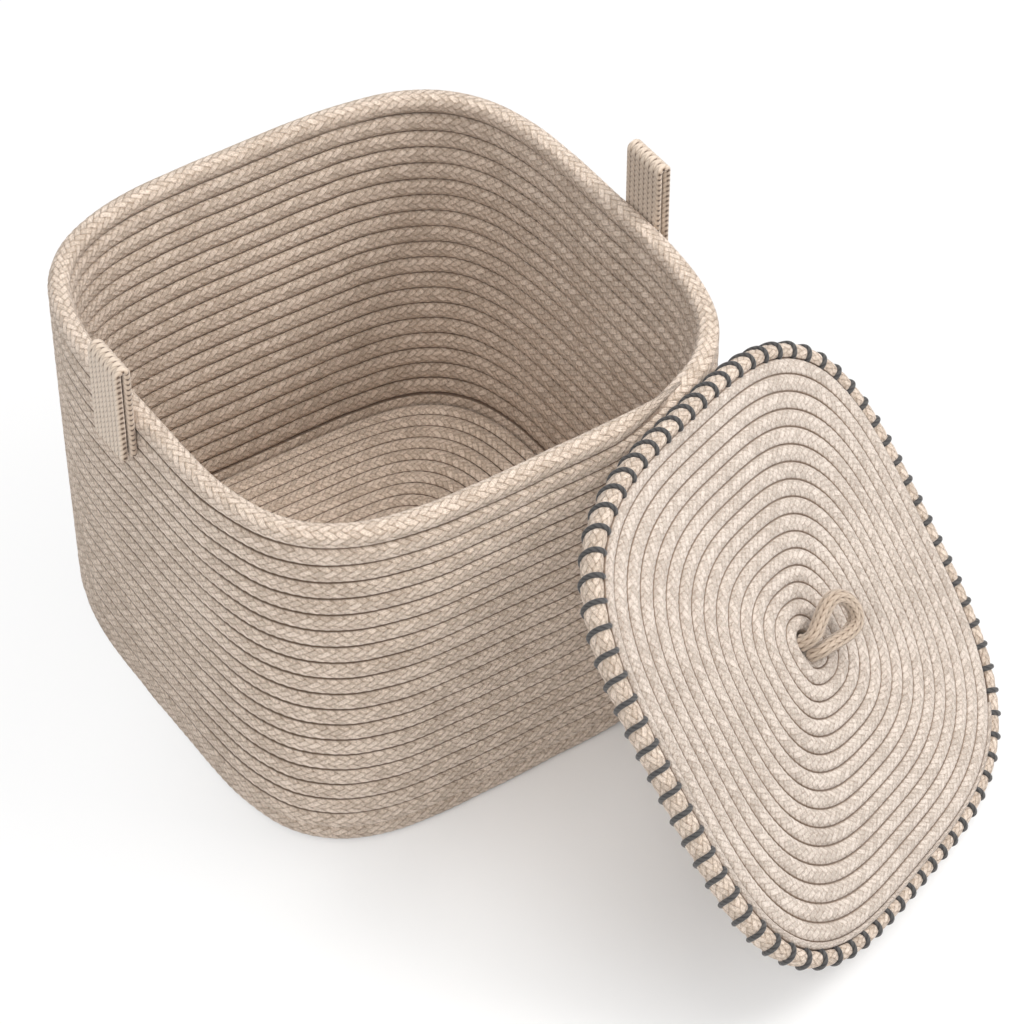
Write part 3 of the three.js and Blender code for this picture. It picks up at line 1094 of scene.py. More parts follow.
class Piece:
    """One dressed part of the basket, on one body."""

    def __init__(self, body: Body, slot: Slot, material: bpy.types.Material,
                 nodes: tuple[str, ...], pose: Matrix | None = None) -> None:
        """Keeps what the part rides on and stands for.

        Args:
            body: the body that carries it.
            slot: the record's material slot; not used.
            material: its finish.
            nodes: the solids that it stands for.
            pose: where its own frame is, when it isn't the model's.
        """
        self.body, self.slot, self.material = body, slot, material
        self.nodes, self.pose = nodes, pose

    def made(self, data: MeshData, name: str) -> bpy.types.Object:
        """Makes one mesh of the part, with its finish.

        Args:
            data: the mesh, in the part's own frame.
            name: the object's name.

        Returns:
            The new object.
        """
        made = data.to_object(name)
        if self.pose is not None:
            made.data.transform(self.pose)
        made.data.materials.append(self.material)
        LOG.info("%s: %d faces", name, len(made.data.polygons))
        return made

    def place(self, data: MeshData, name: str) -> None:
        """Makes one mesh of the part and puts it on its body.

        Args:
            data: the mesh, in the part's own frame.
            name: the object's name.
        """
        made = self.made(data, name)
        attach(made, self.body.value)
        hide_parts(*self.nodes)

    def bend(self, data: MeshData, name: str, moving: Body, fixed: Vector,
             freed: Vector) -> None:
        """Makes one mesh of the part, in the model's frame and on no body.

        Args:
            data: the mesh, in the part's own frame.
            name: the object's name.
            moving: the other body; not used.
            fixed: where the bend starts, in metres; not used.
            freed: where it ends and the mesh moves with the other body; not used.
        """
        made = self.made(data, name)
        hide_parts(*self.nodes)
        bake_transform(made)


class Wall:
    """The wall: one plaited rope wound up in level rows.

    FLATTER is how much squarer the rope's section is below the rim, where rows press on it.
    LOOSER is how much wider the painted seam shade between rows is on the side at -X, and
    RIM_SEAM how much narrower it is from RIM_FROM rows below the top. TIP is the length of each
    end's taper, as a share of a climb; DROP and THIN are the shares of half its height that it
    moves and of its thickness that it loses. SWAY and HEAVE are the unevenness out and up, and
    LEVEL the least height, all in millimetres. STEPS is the number of points in a turn.
    """

    FLATTER = 1.5
    LOOSER = 0.33
    RIM_SEAM = 0.3
    RIM_FROM = 1.6
    TIP = 0.8
    DROP = 0.8
    THIN = 0.82
    SWAY = 0.4
    HEAVE = 0.32
    LEVEL = 0.15
    STEPS = 1440
    MESHES = 4

    def __init__(self, sizes: BasketSizes, plait: Plait) -> None:
        """Keeps the wall's sizes and rope."""
        self.sizes = sizes
        half = sizes.row_pitch / 2
        self.spec = RopeSpec(across=half, up=half * 1.01, squareness=2.3, plait=plait,
                             sides=28, rings=4.2)
        self.climb = (sizes.climb_to - sizes.climb_from) / 360.0

    def half(self, z: np.ndarray) -> np.ndarray:
        """Half the wall's outside width at a height."""
        s = self.sizes
        tuck = s.foot_tuck * np.clip(1.0 - z / (2.0 * s.row_pitch), 0.0, 1.0) ** 2
        return (s.foot_width + (s.rim_width - s.foot_width) * z / s.height) / 2.0 - tuck

    def power(self, z: np.ndarray) -> np.ndarray:
        """Squareness of the wall's plan at a height."""
        s = self.sizes
        return s.foot_power + (s.rim_power - s.foot_power) * z / s.height

    def path(self) -> Path:
        """The rope's middle, from the first row to the rim, with a tapered start and end."""
        s = self.sizes
        climb = self.climb
        tip = self.TIP * climb
        taken = np.linspace(-tip, s.rows - climb + tip, s.rows * self.STEPS)
        row = np.clip(np.floor(taken), 0, s.rows - 1)
        z = (row + 0.5 + smooth((taken - row - (1.0 - climb)) / climb)) * s.row_pitch
        first = np.clip(-taken / tip, 0.0, 1.0)
        last = smooth((taken - (s.rows - climb)) / tip)
        half = s.row_pitch / 2
        z = np.where(taken < 0.0, half * (1.0 - self.DROP * first), z)
        z = np.where(taken > s.rows - climb, s.height - half * (1.0 - self.DROP * last), z)
        angle = math.radians(s.climb_to) + taken * TURN
        centre = SquarePlan.point(self.half(z) - self.spec.across, self.power(z), angle)
        normal = SquarePlan.normal(self.power(z), angle)
        centre[:, 2] = z
        centre += normal * (Waver(11, 3.0, 34.0)(taken) * self.SWAY)[:, None]
        free = smooth(z / s.row_pitch - 0.5) * smooth((s.height - z) / s.row_pitch - 0.5)
        centre[:, 2] += Waver(12, 5.0, 44.0)(taken) * free * self.HEAVE
        below = 1.0 - smooth(taken - (s.rows - self.RIM_FROM))
        return Path(centre, normal, upright(len(centre)), 1.0 - self.THIN * (first + last),
                    touch=self._touch(taken, normal, last),
                    power=self.spec.squareness + self.FLATTER * below)

    def _touch(self, taken: np.ndarray, normal: np.ndarray, last: np.ndarray) -> np.ndarray:
        """Widths of the painted seam shade above and below the rope.

        Args:
            taken: turns along the rope.
            normal: outward directions there.
            last: share of the end's taper that is past.

        Returns:
            Both widths, as an N by 2 array.
        """
        rows = self.sizes.rows
        # These widths set only the painted seam shade between rows, not the rope's shape.
        covered = 1.0 - smooth((taken - (rows - 1.0 - 0.5 * self.climb)) / (0.25 * self.climb))
        top = rows - self.RIM_FROM
        rim = self.RIM_SEAM * smooth(np.stack([taken - (top - 1.0), taken - top], -1))
        # The painted seam shade is drawn wider on the side that faces -X.
        steep = np.clip(-normal[:, :1], 0.0, 1.0) ** 3
        return np.stack([covered, 1.0 - last], -1) * (1.0 + self.LOOSER * steep - rim)

    def build(self, material: bpy.types.Material) -> None:
        """Makes the wall's meshes."""
        piece = Piece(Body.BASKET, Slot.ROPE, material, ("wall_coil",))
        meshes = RopeSweep(self.spec, math.pi / 2).meshes(self.path(), self.MESHES)
        for place, data in enumerate(meshes):
            data.points[:, 2] = np.maximum(data.points[:, 2], self.LEVEL)
            piece.place(data, f"wall_rope_{place + 1}")


class Panel:
    """A flat spiral of the thinner rope, such as the base and the lid.

    STEPS is the number of steps in a turn that places are counted in. LEAD_IN and CUT are the
    turns over which the rope starts and by which it ends short, and THINNEST is its share at
    the start. CROWDING draws points to the corners, and SPREAD is how soon turns grow square.
    SNUG and SPARE, in millimetres, widen the rope so that turns touch, and HEAVE is the
    unevenness up. POINTS is the number of points in a turn.
    """

    STEPS = 16
    LEAD_IN = 0.35
    CUT = 0.14
    THINNEST = 0.06
    CROWDING = 0.1
    SPREAD = 0.6
    SNUG = 1.03
    SPARE = 0.06
    HEAVE = 0.18
    POINTS = 720
    MESHES = 2

    def __init__(self, spiral: Spiral, pinch: float, plait: Plait, seed: int) -> None:
        """Keeps the spiral.

        Args:
            spiral: its sizes.
            pinch: share of its room that the first turn fills.
            plait: the rope's plait.
            seed: number that fixes its unevenness.
        """
        self.spiral, self.pinch, self.seed = spiral, pinch, seed
        self.pitch = spiral.half / (spiral.turns - 0.5)
        self.spec = RopeSpec(across=self.pitch / 2, up=self.pitch / 2, squareness=2.5,
                             plait=plait, sides=16, rings=3.6)

    def point(self, distance: np.ndarray, angle: np.ndarray, shift: np.ndarray) -> np.ndarray:
        """Points at a distance from the eye.

        Args:
            distance: distance out from the eye, in millimetres.
            angle: direction from the middle, in radians.
            shift: how far the eye lies off the middle.

        Returns:
            Points as an N by 3 array.
        """
        s = self.spiral
        share = np.clip(distance, 0.0, None) / s.half
        power = s.eye_power + (s.power - s.eye_power) * share**self.SPREAD
        place = SquarePlan.point(np.clip(distance, 0.0, None), power, angle)
        line = np.array([math.cos(s.eye_angle), math.sin(s.eye_angle), 0.0])
        stretch = s.eye_stretch * np.cos(angle - s.eye_angle) * (1.0 - share)
        return place + stretch[:, None] * line + shift * (share - 1.0)[:, None]

    def started(self, turn: np.ndarray) -> np.ndarray:
        """Share of the full rope at each turn, growing from its tapered start."""
        return np.clip((turn - self.spiral.first) / self.LEAD_IN + 1.0, self.THINNEST, 1.0)

    def wound(self, turn: np.ndarray,
              shift: np.ndarray) -> tuple[np.ndarray, np.ndarray, np.ndarray]:
        """The rope at places along the spiral.

        Args:
            turn: turns from the middle.
            shift: how far the eye lies off the middle.

        Returns:
            Its middle, outward direction and half width.
        """
        s = self.spiral
        width = np.clip(s.turns - turn, 0.0, 1.0)
        distance = np.minimum(turn * self.pitch, s.half - width * self.pitch / 2.0)
        distance = distance + (1.0 - self.started(turn)) * self.pitch / 2.0
        even = (turn + 0.5 / self.STEPS) * TURN
        angle = even + self.CROWDING * np.sin(4.0 * even)
        nearby = 1e-3
        along = unit(self.point(distance, angle + nearby, shift)
                     - self.point(distance, angle - nearby, shift))
        normal = np.stack([along[:, 1], -along[:, 0], np.zeros(len(turn))], -1)
        room = (self.point(distance + self.pitch / 2.0, angle, shift)
                - self.point(distance - self.pitch / 2.0, angle, shift))
        fill = width * np.clip(self.pinch + (1.0 - self.pinch) * (turn - s.first), 0.0, 1.0)
        half = np.sum(room * normal, -1) * fill / 2.0 * self.SNUG + self.SPARE
        return self.point(distance, angle, shift), normal, half

    def eye_shift(self) -> np.ndarray:
        """How far the eye is moved, so that the middle of the coil is filled evenly."""
        s = self.spiral
        turn = s.first + np.arange(s.eye_points) / self.STEPS
        middle, _, _ = self.wound(turn, np.zeros(3))
        return middle.mean(axis=0) * s.eye_pull

    def path(self) -> Path:
        """The rope's middle from the eye outwards, with its last turn skived away."""
        s = self.spiral
        turn = np.linspace(s.first - self.LEAD_IN, s.turns - self.CUT,
                           int(s.turns * self.POINTS))
        centre, normal, half = self.wound(turn, self.eye_shift())
        centre[:, 2] += Waver(self.seed, 2.0, 9.0)(turn) * self.HEAVE
        # touch gives painted seam shade against the neighbouring turns on both sides.
        return Path(centre, normal, upright(len(turn)), self.started(turn), width=half,
                    touch=np.ones((len(turn), 2)))

    def meshes(self) -> list[MeshData]:
        """The panel's meshes, from the eye outwards."""
        return RopeSweep(self.spec).meshes(self.path(), self.MESHES)


class Base(Panel):
    """The base, standing flat on its underside. LIFT is the height of its rope's middle."""

    LIFT = 3.25

    def __init__(self, sizes: BasketSizes, plait: Plait) -> None:
        """Sets the base's spiral."""
        spiral = Spiral(half=sizes.base_half, turns=sizes.base_turns, power=sizes.base_power,
                        eye_power=sizes.base_eye_power, first=0.5, eye_points=2, eye_pull=1.0)
        super().__init__(spiral, pinch=sizes.eye_pinch, plait=plait, seed=21)

    def build(self, material: bpy.types.Material) -> None:
        """Makes the base's meshes."""
        piece = Piece(Body.BASKET, Slot.ROPE, material, ("base_coil",))
        for place, data in enumerate(self.meshes()):
            data.points[:, 2] = np.maximum(data.points[:, 2] + self.LIFT, 0.0)
            piece.place(data, f"base_rope_{place + 1}")


class LidPanel(Panel):
    """The lid's coiled panel. TUCK is how far it reaches under the edge rope."""

    TUCK = 0.6

    def __init__(self, sizes: BasketSizes, plait: Plait) -> None:
        """Sets the lid's spiral, whose eye is a slot for the loop's rope."""
        spiral = Spiral(half=sizes.lid_half - sizes.edge_width + self.TUCK,
                        turns=sizes.panel_turns, power=sizes.lid_power,
                        eye_power=sizes.lid_eye_power, first=0.75, eye_points=self.STEPS,
                        eye_pull=2.0, eye_stretch=sizes.eye_stretch,
                        eye_angle=math.radians(LoopShape().turn))
        super().__init__(spiral, pinch=0.95, plait=plait, seed=31)

    def build(self, material: bpy.types.Material, pose: Matrix) -> None:
        """Makes the lid panel's meshes."""
        piece = Piece(Body.LID, Slot.ROPE, material, ("lid_coil",), pose)
        for place, data in enumerate(self.meshes()):
            piece.place(data, f"lid_rope_{place + 1}")


class LidEdge:
    """The lid's edge rope and the dark cord whipped round it.

    The cord runs over the front nearly straight and goes on to the next stitch underneath:
    HURRY is how unevenly it goes on, and FRONT is where in a stitch it crosses the front.
    It draws the rope in by the share DRAWN over the share WAIST of a stitch, the more sharply
    the larger SHARP is. SUNK is the rope's size under it, and PROUD the share of the cord's
    radius that it stands off. FULLER is added to the rope's half width, in millimetres. POINTS
    and STITCH_POINTS are the points round the edge and along each stitch.
    """

    HURRY = 0.97
    FRONT = 0.885
    DRAWN = 0.13
    WAIST = 0.36
    SHARP = 1.3
    SUNK = 0.9
    PROUD = 0.3
    FULLER = 0.1
    POINTS = 7201
    STITCH_POINTS = 48

    def __init__(self, sizes: BasketSizes, plait: Plait) -> None:
        """Keeps the edge's sizes."""
        self.sizes = sizes
        self.spec = RopeSpec(across=sizes.edge_width / 2 + self.FULLER,
                             up=sizes.edge_height / 2, squareness=2.3, plait=plait,
                             sides=24, rings=5.0)
        self.half = sizes.lid_half - sizes.edge_width / 2
        self.middle = sizes.edge_top - sizes.edge_height / 2

    def ring(self) -> tuple[np.ndarray, np.ndarray, np.ndarray]:
        """Points, directions and lengths round the edge, as one closed turn."""
        angle = np.linspace(0.0, TURN, self.POINTS)
        power = np.full_like(angle, self.sizes.lid_power)
        points = SquarePlan.point(np.full_like(angle, self.half), power, angle)
        points[:, 2] = self.middle
        return points, SquarePlan.normal(power, angle), lengths_along(points)

    def pinch(self, stitch: np.ndarray) -> np.ndarray:
        """How far the rope is drawn in at a place counted in stitches, 0 to 1."""
        off = np.abs(np.mod(stitch + 0.5, 1.0) - 0.5)
        return np.clip(1.0 - off / self.WAIST, 0.0, 1.0) ** self.SHARP

    def rope_path(self) -> Path:
        """The edge rope's middle, without the ring's last point, which is the first again."""
        points, normal, lengths = self.ring()
        stitch = lengths / lengths[-1] * self.sizes.stitches - self.FRONT
        scale = 1.0 - self.DRAWN * self.pinch(stitch)
        count = len(points) - 1
        # touch gives painted seam shade against the panel, on the section's first side only.
        return Path(points[:-1], normal[:-1], upright(count), scale[:-1], closed=True,
                    touch=np.tile([1.0, 0.0], (count, 1)))

    def cord_path(self) -> Path:
        """The whip cord's middle: over the outer face, round the outside, back underneath."""
        points, normal, lengths = self.ring()
        s = self.sizes
        step = np.arange(s.stitches * self.STITCH_POINTS) / self.STITCH_POINTS
        lag = self.HURRY / TURN * (np.sin(TURN * (step - 0.25)) + 1.0)
        distance = np.clip(step + lag, 0.0, s.stitches) / s.stitches * lengths[-1]
        centre = sampled(distance, lengths, points)
        out = unit(sampled(distance, lengths, normal))
        cosine, sine = np.cos(step * TURN), -np.sin(step * TURN)
        radius = section(cosine, sine, self.spec.squareness)
        stand = s.stitch_cord / 2 * self.PROUD
        centre += out * ((self.spec.across * self.SUNK + stand) * cosine * radius)[:, None]
        centre[:, 2] += (self.spec.up * self.SUNK + stand) * sine * radius
        around = out * cosine[:, None]
        around[:, 2] = sine
        tangent = unit(np.gradient(centre, axis=0))
        up = unit(around - tangent * np.sum(around * tangent, -1)[:, None])
        return Path(centre, np.cross(tangent, up), up, np.ones(len(step)))

    def build(self, rope: bpy.types.Material, cord: bpy.types.Material, pose: Matrix) -> None:
        """Makes the edge rope and the whip cord.

        Args:
            rope: the rope's finish.
            cord: the cord's finish.
            pose: where the lid leans.
        """
        edge = Piece(Body.LID, Slot.ROPE, rope, ("lid_edge_rope",), pose)
        for data in RopeSweep(self.spec, math.pi).meshes(self.rope_path()):
            edge.place(data, "lid_edge")
        radius = self.sizes.stitch_cord / 2
        smooth_cord = Plait(columns=3, pitch=3.2, depth=0.0)
        spec = RopeSpec(across=radius, up=radius, squareness=2.0, plait=smooth_cord,
                        sides=12, rings=4.0)
        whip = Piece(Body.LID, Slot.CORD, cord, ("lid_whip_cord",), pose)
        for data in RopeSweep(spec).meshes(self.cord_path()):
            whip.place(data, "lid_whipping")


class PullLoop:
    """The rope loop on the lid, and its two tails under it.

    Heights off the lid are in millimetres: FOOT is where the loop's rope starts, FIXED the height
    given as where it starts to bend, and FREE_FROM how far out of its hinge it is free. ROUND
    shapes the loop's end, SWELL is how much fuller the rope is in the eye, over SWELL_OVER, and
    ROOT is each root's share of the loop. SLIM and TAIL_SLIM are taken off the half height of
    the loop and of the tails, and TAIL_TOP is how far under the rope's radius a tail starts.
    """

    RIBS = Ribs(columns=8, pitch=4.2, depth=0.5)
    FOOT = 2.0
    FIXED = 4.0
    FREE_FROM = 5.0
    ROUND = 0.75
    SWELL = 0.16
    SWELL_OVER = 3.0
    ROOT = 0.12
    SLIM = 0.1
    TAIL_SLIM = 0.2
    TAIL_TOP = 1.5

    def __init__(self, shape: LoopShape, plait: Plait) -> None:
        """Keeps the loop's shape and rope."""
        self.shape, self.plait = shape, plait

    def lean_direction(self) -> np.ndarray:
        """Which way the loop lies, in its own frame: y out of its roots and z off the lid."""
        rise = math.radians(90.0 - self.shape.lean)
        return np.array([0.0, math.cos(rise), math.sin(rise)])

    def path(self) -> Path:
        """The rope's middle: up out of the eye, round the loop and down again."""
        s = self.shape
        share = np.linspace(0.0, 1.0, 600)
        curve = np.sin(math.pi * share)
        reach = s.reach * curve**self.ROUND
        out = self.lean_direction()
        ring = reach[:, None] * out
        ring[:, 0] = -np.cos(math.pi * share) * (s.leg + s.bulge * curve)
        ring[:, 2] += s.axis_height
        free = reach > self.FREE_FROM
        ring, share = ring[free], share[free]
        step = np.linspace(0.0, 1.0, 60)[:-1, None]
        foot = np.array([-s.leg, 0.0, self.FOOT])
        bend = np.array([-s.leg, 0.0, s.axis_height])
        first = (1.0 - step) ** 2 * foot + 2.0 * step * (1.0 - step) * bend + step**2 * ring[0]
        second = first[::-1] * np.array([-1.0, 1.0, 1.0])
        centre = np.concatenate([first, ring, second])
        tangent = unit(np.gradient(centre, axis=0))
        across = np.tile([0.0, -out[2], out[1]], (len(centre), 1))
        count = len(first)
        across[:count] = np.cross([1.0, 0.0, 0.0], tangent[:count])
        across[-count:] = np.cross([-1.0, 0.0, 0.0], tangent[-count:])
        across = unit(across - tangent * np.sum(across * tangent, -1)[:, None])
        end = len(centre) - 1
        places, shares = [0, count, end - count, end], [0.0, self.ROOT, 1.0 - self.ROOT, 1.0]
        round_share = np.interp(np.arange(len(centre)), places, shares)
        breadth = s.rope + (s.breadth - s.rope) * np.sin(math.pi * round_share)
        low = np.clip((self.FREE_FROM - centre[:, 2]) / self.SWELL_OVER, 0.0, 1.0)
        return Path(centre, across, np.cross(across, tangent), 1.0 + self.SWELL * low,
                    width=breadth / 2.0)

    def build(self, loop_finish: bpy.types.Material, tail_finish: bpy.types.Material,
              pose: Matrix) -> None:
        """Makes the loop and the tails.

        Args:
            loop_finish: the loop's finish.
            tail_finish: the tails' finish.
            pose: where the lid leans.
        """
        s = self.shape
        place = pose @ Matrix.Rotation(math.radians(s.turn), 4, "Z")
        spec = RopeSpec(across=s.breadth / 2, up=s.rope / 2 - self.SLIM, squareness=2.5,
                        plait=self.RIBS, sides=60, rings=6.0)
        fixed = Vector((0.0, 0.0, self.FIXED)) * MM
        freed = (Vector((0.0, 0.0, s.axis_height))
                 + Vector(self.lean_direction()) * self.FREE_FROM) * MM
        loop = Piece(Body.LID, Slot.ROPE, loop_finish, ("lid_pull_loop",), place)
        for data in RopeSweep(spec).meshes(self.path()):
            loop.bend(data, "pull_loop_rope", Body.LOOP, place @ fixed, place @ freed)
        for name, side in (("loop_tail_upper", -1.0), ("loop_tail_lower", 1.0)):
            self._tail(name, side, tail_finish, place)

    def _tail(self, node: str, side: float, material: bpy.types.Material, pose: Matrix) -> None:
        """Makes one tail: down through the eye, round a bend and out under the lid.

        Args:
            node: the solid that it stands for.
            side: which root it comes from, -1 or 1.
            material: its finish.
            pose: the loop's own frame.
        """
        s = self.shape
        radius = s.rope / 2
        bent = np.linspace(0.0, math.pi / 2, 16)
        down = np.linspace(radius - self.TAIL_TOP, s.leg - s.axis_height, 16)[:-1]
        out = np.linspace(s.leg, s.tail_length + radius, 40)[1:]
        depth = -s.axis_height
        line = np.concatenate([
            np.stack([np.zeros_like(down), down], -1),
            np.stack([s.leg * (1 - np.cos(bent)), s.leg * (1 - np.sin(bent)) + depth], -1),
            np.stack([out, np.full_like(out, depth)], -1)])
        centre = np.stack([np.full(len(line), side * s.leg), line[:, 0], line[:, 1]], -1)
        tangent = unit(np.gradient(centre, axis=0))
        across = np.tile([1.0, 0.0, 0.0], (len(centre), 1))
        path = Path(centre, across, np.cross(across, tangent), np.ones(len(centre)))
        left = np.clip((path.lengths()[-1] - path.lengths()) / radius, 0.0, 1.0)
        path.scale = np.sqrt(np.clip(1.0 - (1.0 - left) ** 2, 0.02, 1.0))
        half = radius - self.TAIL_SLIM
        spec = RopeSpec(across=half, up=half, squareness=2.2, plait=self.plait, sides=20,
                        rings=5.0)
        tail = Piece(Body.LID, Slot.ROPE, material, (node,), pose)
        for data in RopeSweep(spec).meshes(path):
            tail.place(data, node + "_rope")


class WebbingTab:
    """A ribbed strap folded over itself, sewn to the wall and standing above the rim.

    SPACING is the distance between rows of points, and RIB_POINTS the points across a rib.
    ROUND is the share of a rib over which the edges are rounded, and INSET and WOBBLE are how
    far in the edges lie and how far chevrons push them out. BELOW and ABOVE are given as where
    the bend starts and ends, from the hinge. Lengths are in millimetres.
    """

    PATTERN = Ribs(columns=7, pitch=3.6, depth=0.55)
    SPACING = 0.6
    RIB_POINTS = 8
    ROUND = 0.35
    INSET = 0.4
    WOBBLE = 0.35
    BELOW = 5.5
    ABOVE = 5.0

    def __init__(self, shape: StrapShape, body: Body, side_name: str) -> None:
        """Keeps the strap's shape and the body of its free end."""
        self.shape, self.body, self.side_name = shape, body, side_name

    def middle_line(self) -> tuple[np.ndarray, np.ndarray]:
        """The strap's middle line in its own plane, outwards and up, and its normals."""
        s = self.shape
        thick = 2 * s.layer + s.slit
        radius = (thick - s.layer) / 2
        centre = s.face + thick / 2
        fold = s.top - thick / 2
        rise = np.linspace(s.bottom, fold, 160)
        inner = np.stack([np.full_like(rise, centre - radius), rise], -1)
        turn = np.linspace(math.pi, 0.0, 24)[1:-1]
        over = np.stack([centre + radius * np.cos(turn), fold + radius * np.sin(turn)], -1)
        outer = np.stack([np.full_like(rise, centre + radius), rise[::-1]], -1)
        line = np.concatenate([inner, over, outer])
        tangent = unit(np.gradient(line, axis=0))
        return line, np.stack([-tangent[:, 1], tangent[:, 0]], -1)

    def rings(self) -> tuple[np.ndarray, np.ndarray, np.ndarray]:
        """The strap's section at each step along it.

        Returns:
            Its points in the strap's own plane, its place along counted in chevrons, and the
            points' places round it counted in ribs.
        """
        s = self.shape
        line, normal = self.middle_line()
        lengths = lengths_along(line)
        wanted = np.linspace(0.0, lengths[-1], int(lengths[-1] / self.SPACING))
        line = sampled(wanted, lengths, line)[:, None]
        normal = unit(sampled(wanted, lengths, normal))[:, None]
        ribs, depth = self.PATTERN.columns, self.PATTERN.depth
        across = np.arange(ribs * self.RIB_POINTS + 1) / self.RIB_POINTS
        chevron = wanted / self.PATTERN.pitch
        face = self.PATTERN.height(chevron[:, None], np.clip(across, 0.0, ribs - 1e-6)[None, :])
        edge = np.clip(np.minimum(across, ribs - across) / self.ROUND, 0.0, 1.0)
        body = (s.layer / 2 - depth) * np.sqrt(np.clip(1.0 - (1.0 - edge) ** 2, 0.05, 1.0))
        top = (body + face * depth)[..., None]
        wobble = self.WOBBLE * np.abs(np.sin(math.pi * chevron))[:, None]
        y = (across / ribs - 0.5) * (s.width + 2.0 * (wobble - self.INSET))
        upper, lower = line + normal * top, line - normal * top
        upper = np.stack([upper[..., 0], y, upper[..., 1]], -1)
        lower = np.stack([lower[..., 0], y, lower[..., 1]], -1)[:, ::-1]
        ring = np.concatenate([upper, lower], axis=1)
        return ring, chevron, np.concatenate([across, across[::-1]])

    def build(self, material: bpy.types.Material) -> None:
        """Makes the strap as one mesh."""
        s = self.shape
        data = self._skin(*self.rings())
        data.points = data.points * [s.side, s.side, 1.0] + [0.0, s.along, 0.0]
        nodes = (f"handle_sewn_{self.side_name}", f"handle_fold_{self.side_name}")
        strap = Piece(Body.BASKET, Slot.WEBBING, material, nodes)
        middle = s.side * (s.face + s.layer + s.slit / 2)
        strap.bend(data, f"webbing_tab_{self.side_name}", self.body,
                   Vector((middle, s.along, s.flex - self.BELOW)) * MM,
                   Vector((middle, s.along, s.flex + self.ABOVE)) * MM)

    @staticmethod
    def _skin(ring: np.ndarray, along: np.ndarray, around: np.ndarray) -> MeshData:
        """Joins the strap's sections into a closed mesh.

        Args:
            ring: points of each section.
            along: place along of each section.
            around: place round of each point in a section.

        Returns:
            The mesh.
        """
        rings, sides = ring.shape[:2]
        here = np.arange(rings - 1)
        place = np.arange(sides // 2 - 1)
        cap = np.stack([place, place + 1, sides - 2 - place, sides - 1 - place], -1)
        faces = np.concatenate([tube_faces(here, here + 1, sides), cap,
                                (rings - 1) * sides + cap[:, ::-1]])
        ids = faces.ravel()
        chart = np.stack([along[ids // sides], around[ids % sides]], -1)
        return MeshData(ring.reshape(-1, 3), faces, chart)


@dataclass(frozen=True)
class Shot:
    """The camera of the photograph, in metres, with the lens and its sensor in millimetres."""

    place: Point = (-0.85196, -1.39214, 1.68584)
    back: Point = (-0.3976, -0.5906, 0.7023)
    lens: float = 141.8
    sensor: float = 36.0
    nearest: float = 0.05
    farthest: float = 50.0

    def build(self) -> None:
        """Makes the camera and sets it as the scene's."""
        data = bpy.data.cameras.new("camera")
        data.lens, data.sensor_width = self.lens, self.sensor
        data.clip_start, data.clip_end = self.nearest, self.farthest
        camera = bpy.data.objects.new("camera", data)
        camera.location = self.place
        camera.rotation_mode = "QUATERNION"
        camera.rotation_quaternion = (-Vector(self.back)).to_track_quat("-Z", "Y")
        bpy.context.scene.collection.objects.link(camera)
        bpy.context.scene.camera = camera


@dataclass(frozen=True)
class Lamp:
    """A square soft light that looks at the basket, in metres and watts."""

    name: str
    place: Point
    power: float
    size: float = 1.3
    colour: Point = (1.0, 0.99, 0.975)
    aim: Point = (0.05, -0.08, 0.1)

    def build(self) -> None:
        """Makes the light."""
        data = bpy.data.lights.new(self.name, "AREA")
        data.energy, data.size, data.color = self.power, self.size, self.colour
        lamp = bpy.data.objects.new(self.name, data)
        lamp.location = self.place
        aim = Vector(self.aim) - Vector(self.place)
        lamp.rotation_mode = "QUATERNION"
        lamp.rotation_quaternion = aim.to_track_quat("-Z", "Y")
        bpy.context.scene.collection.objects.link(lamp)


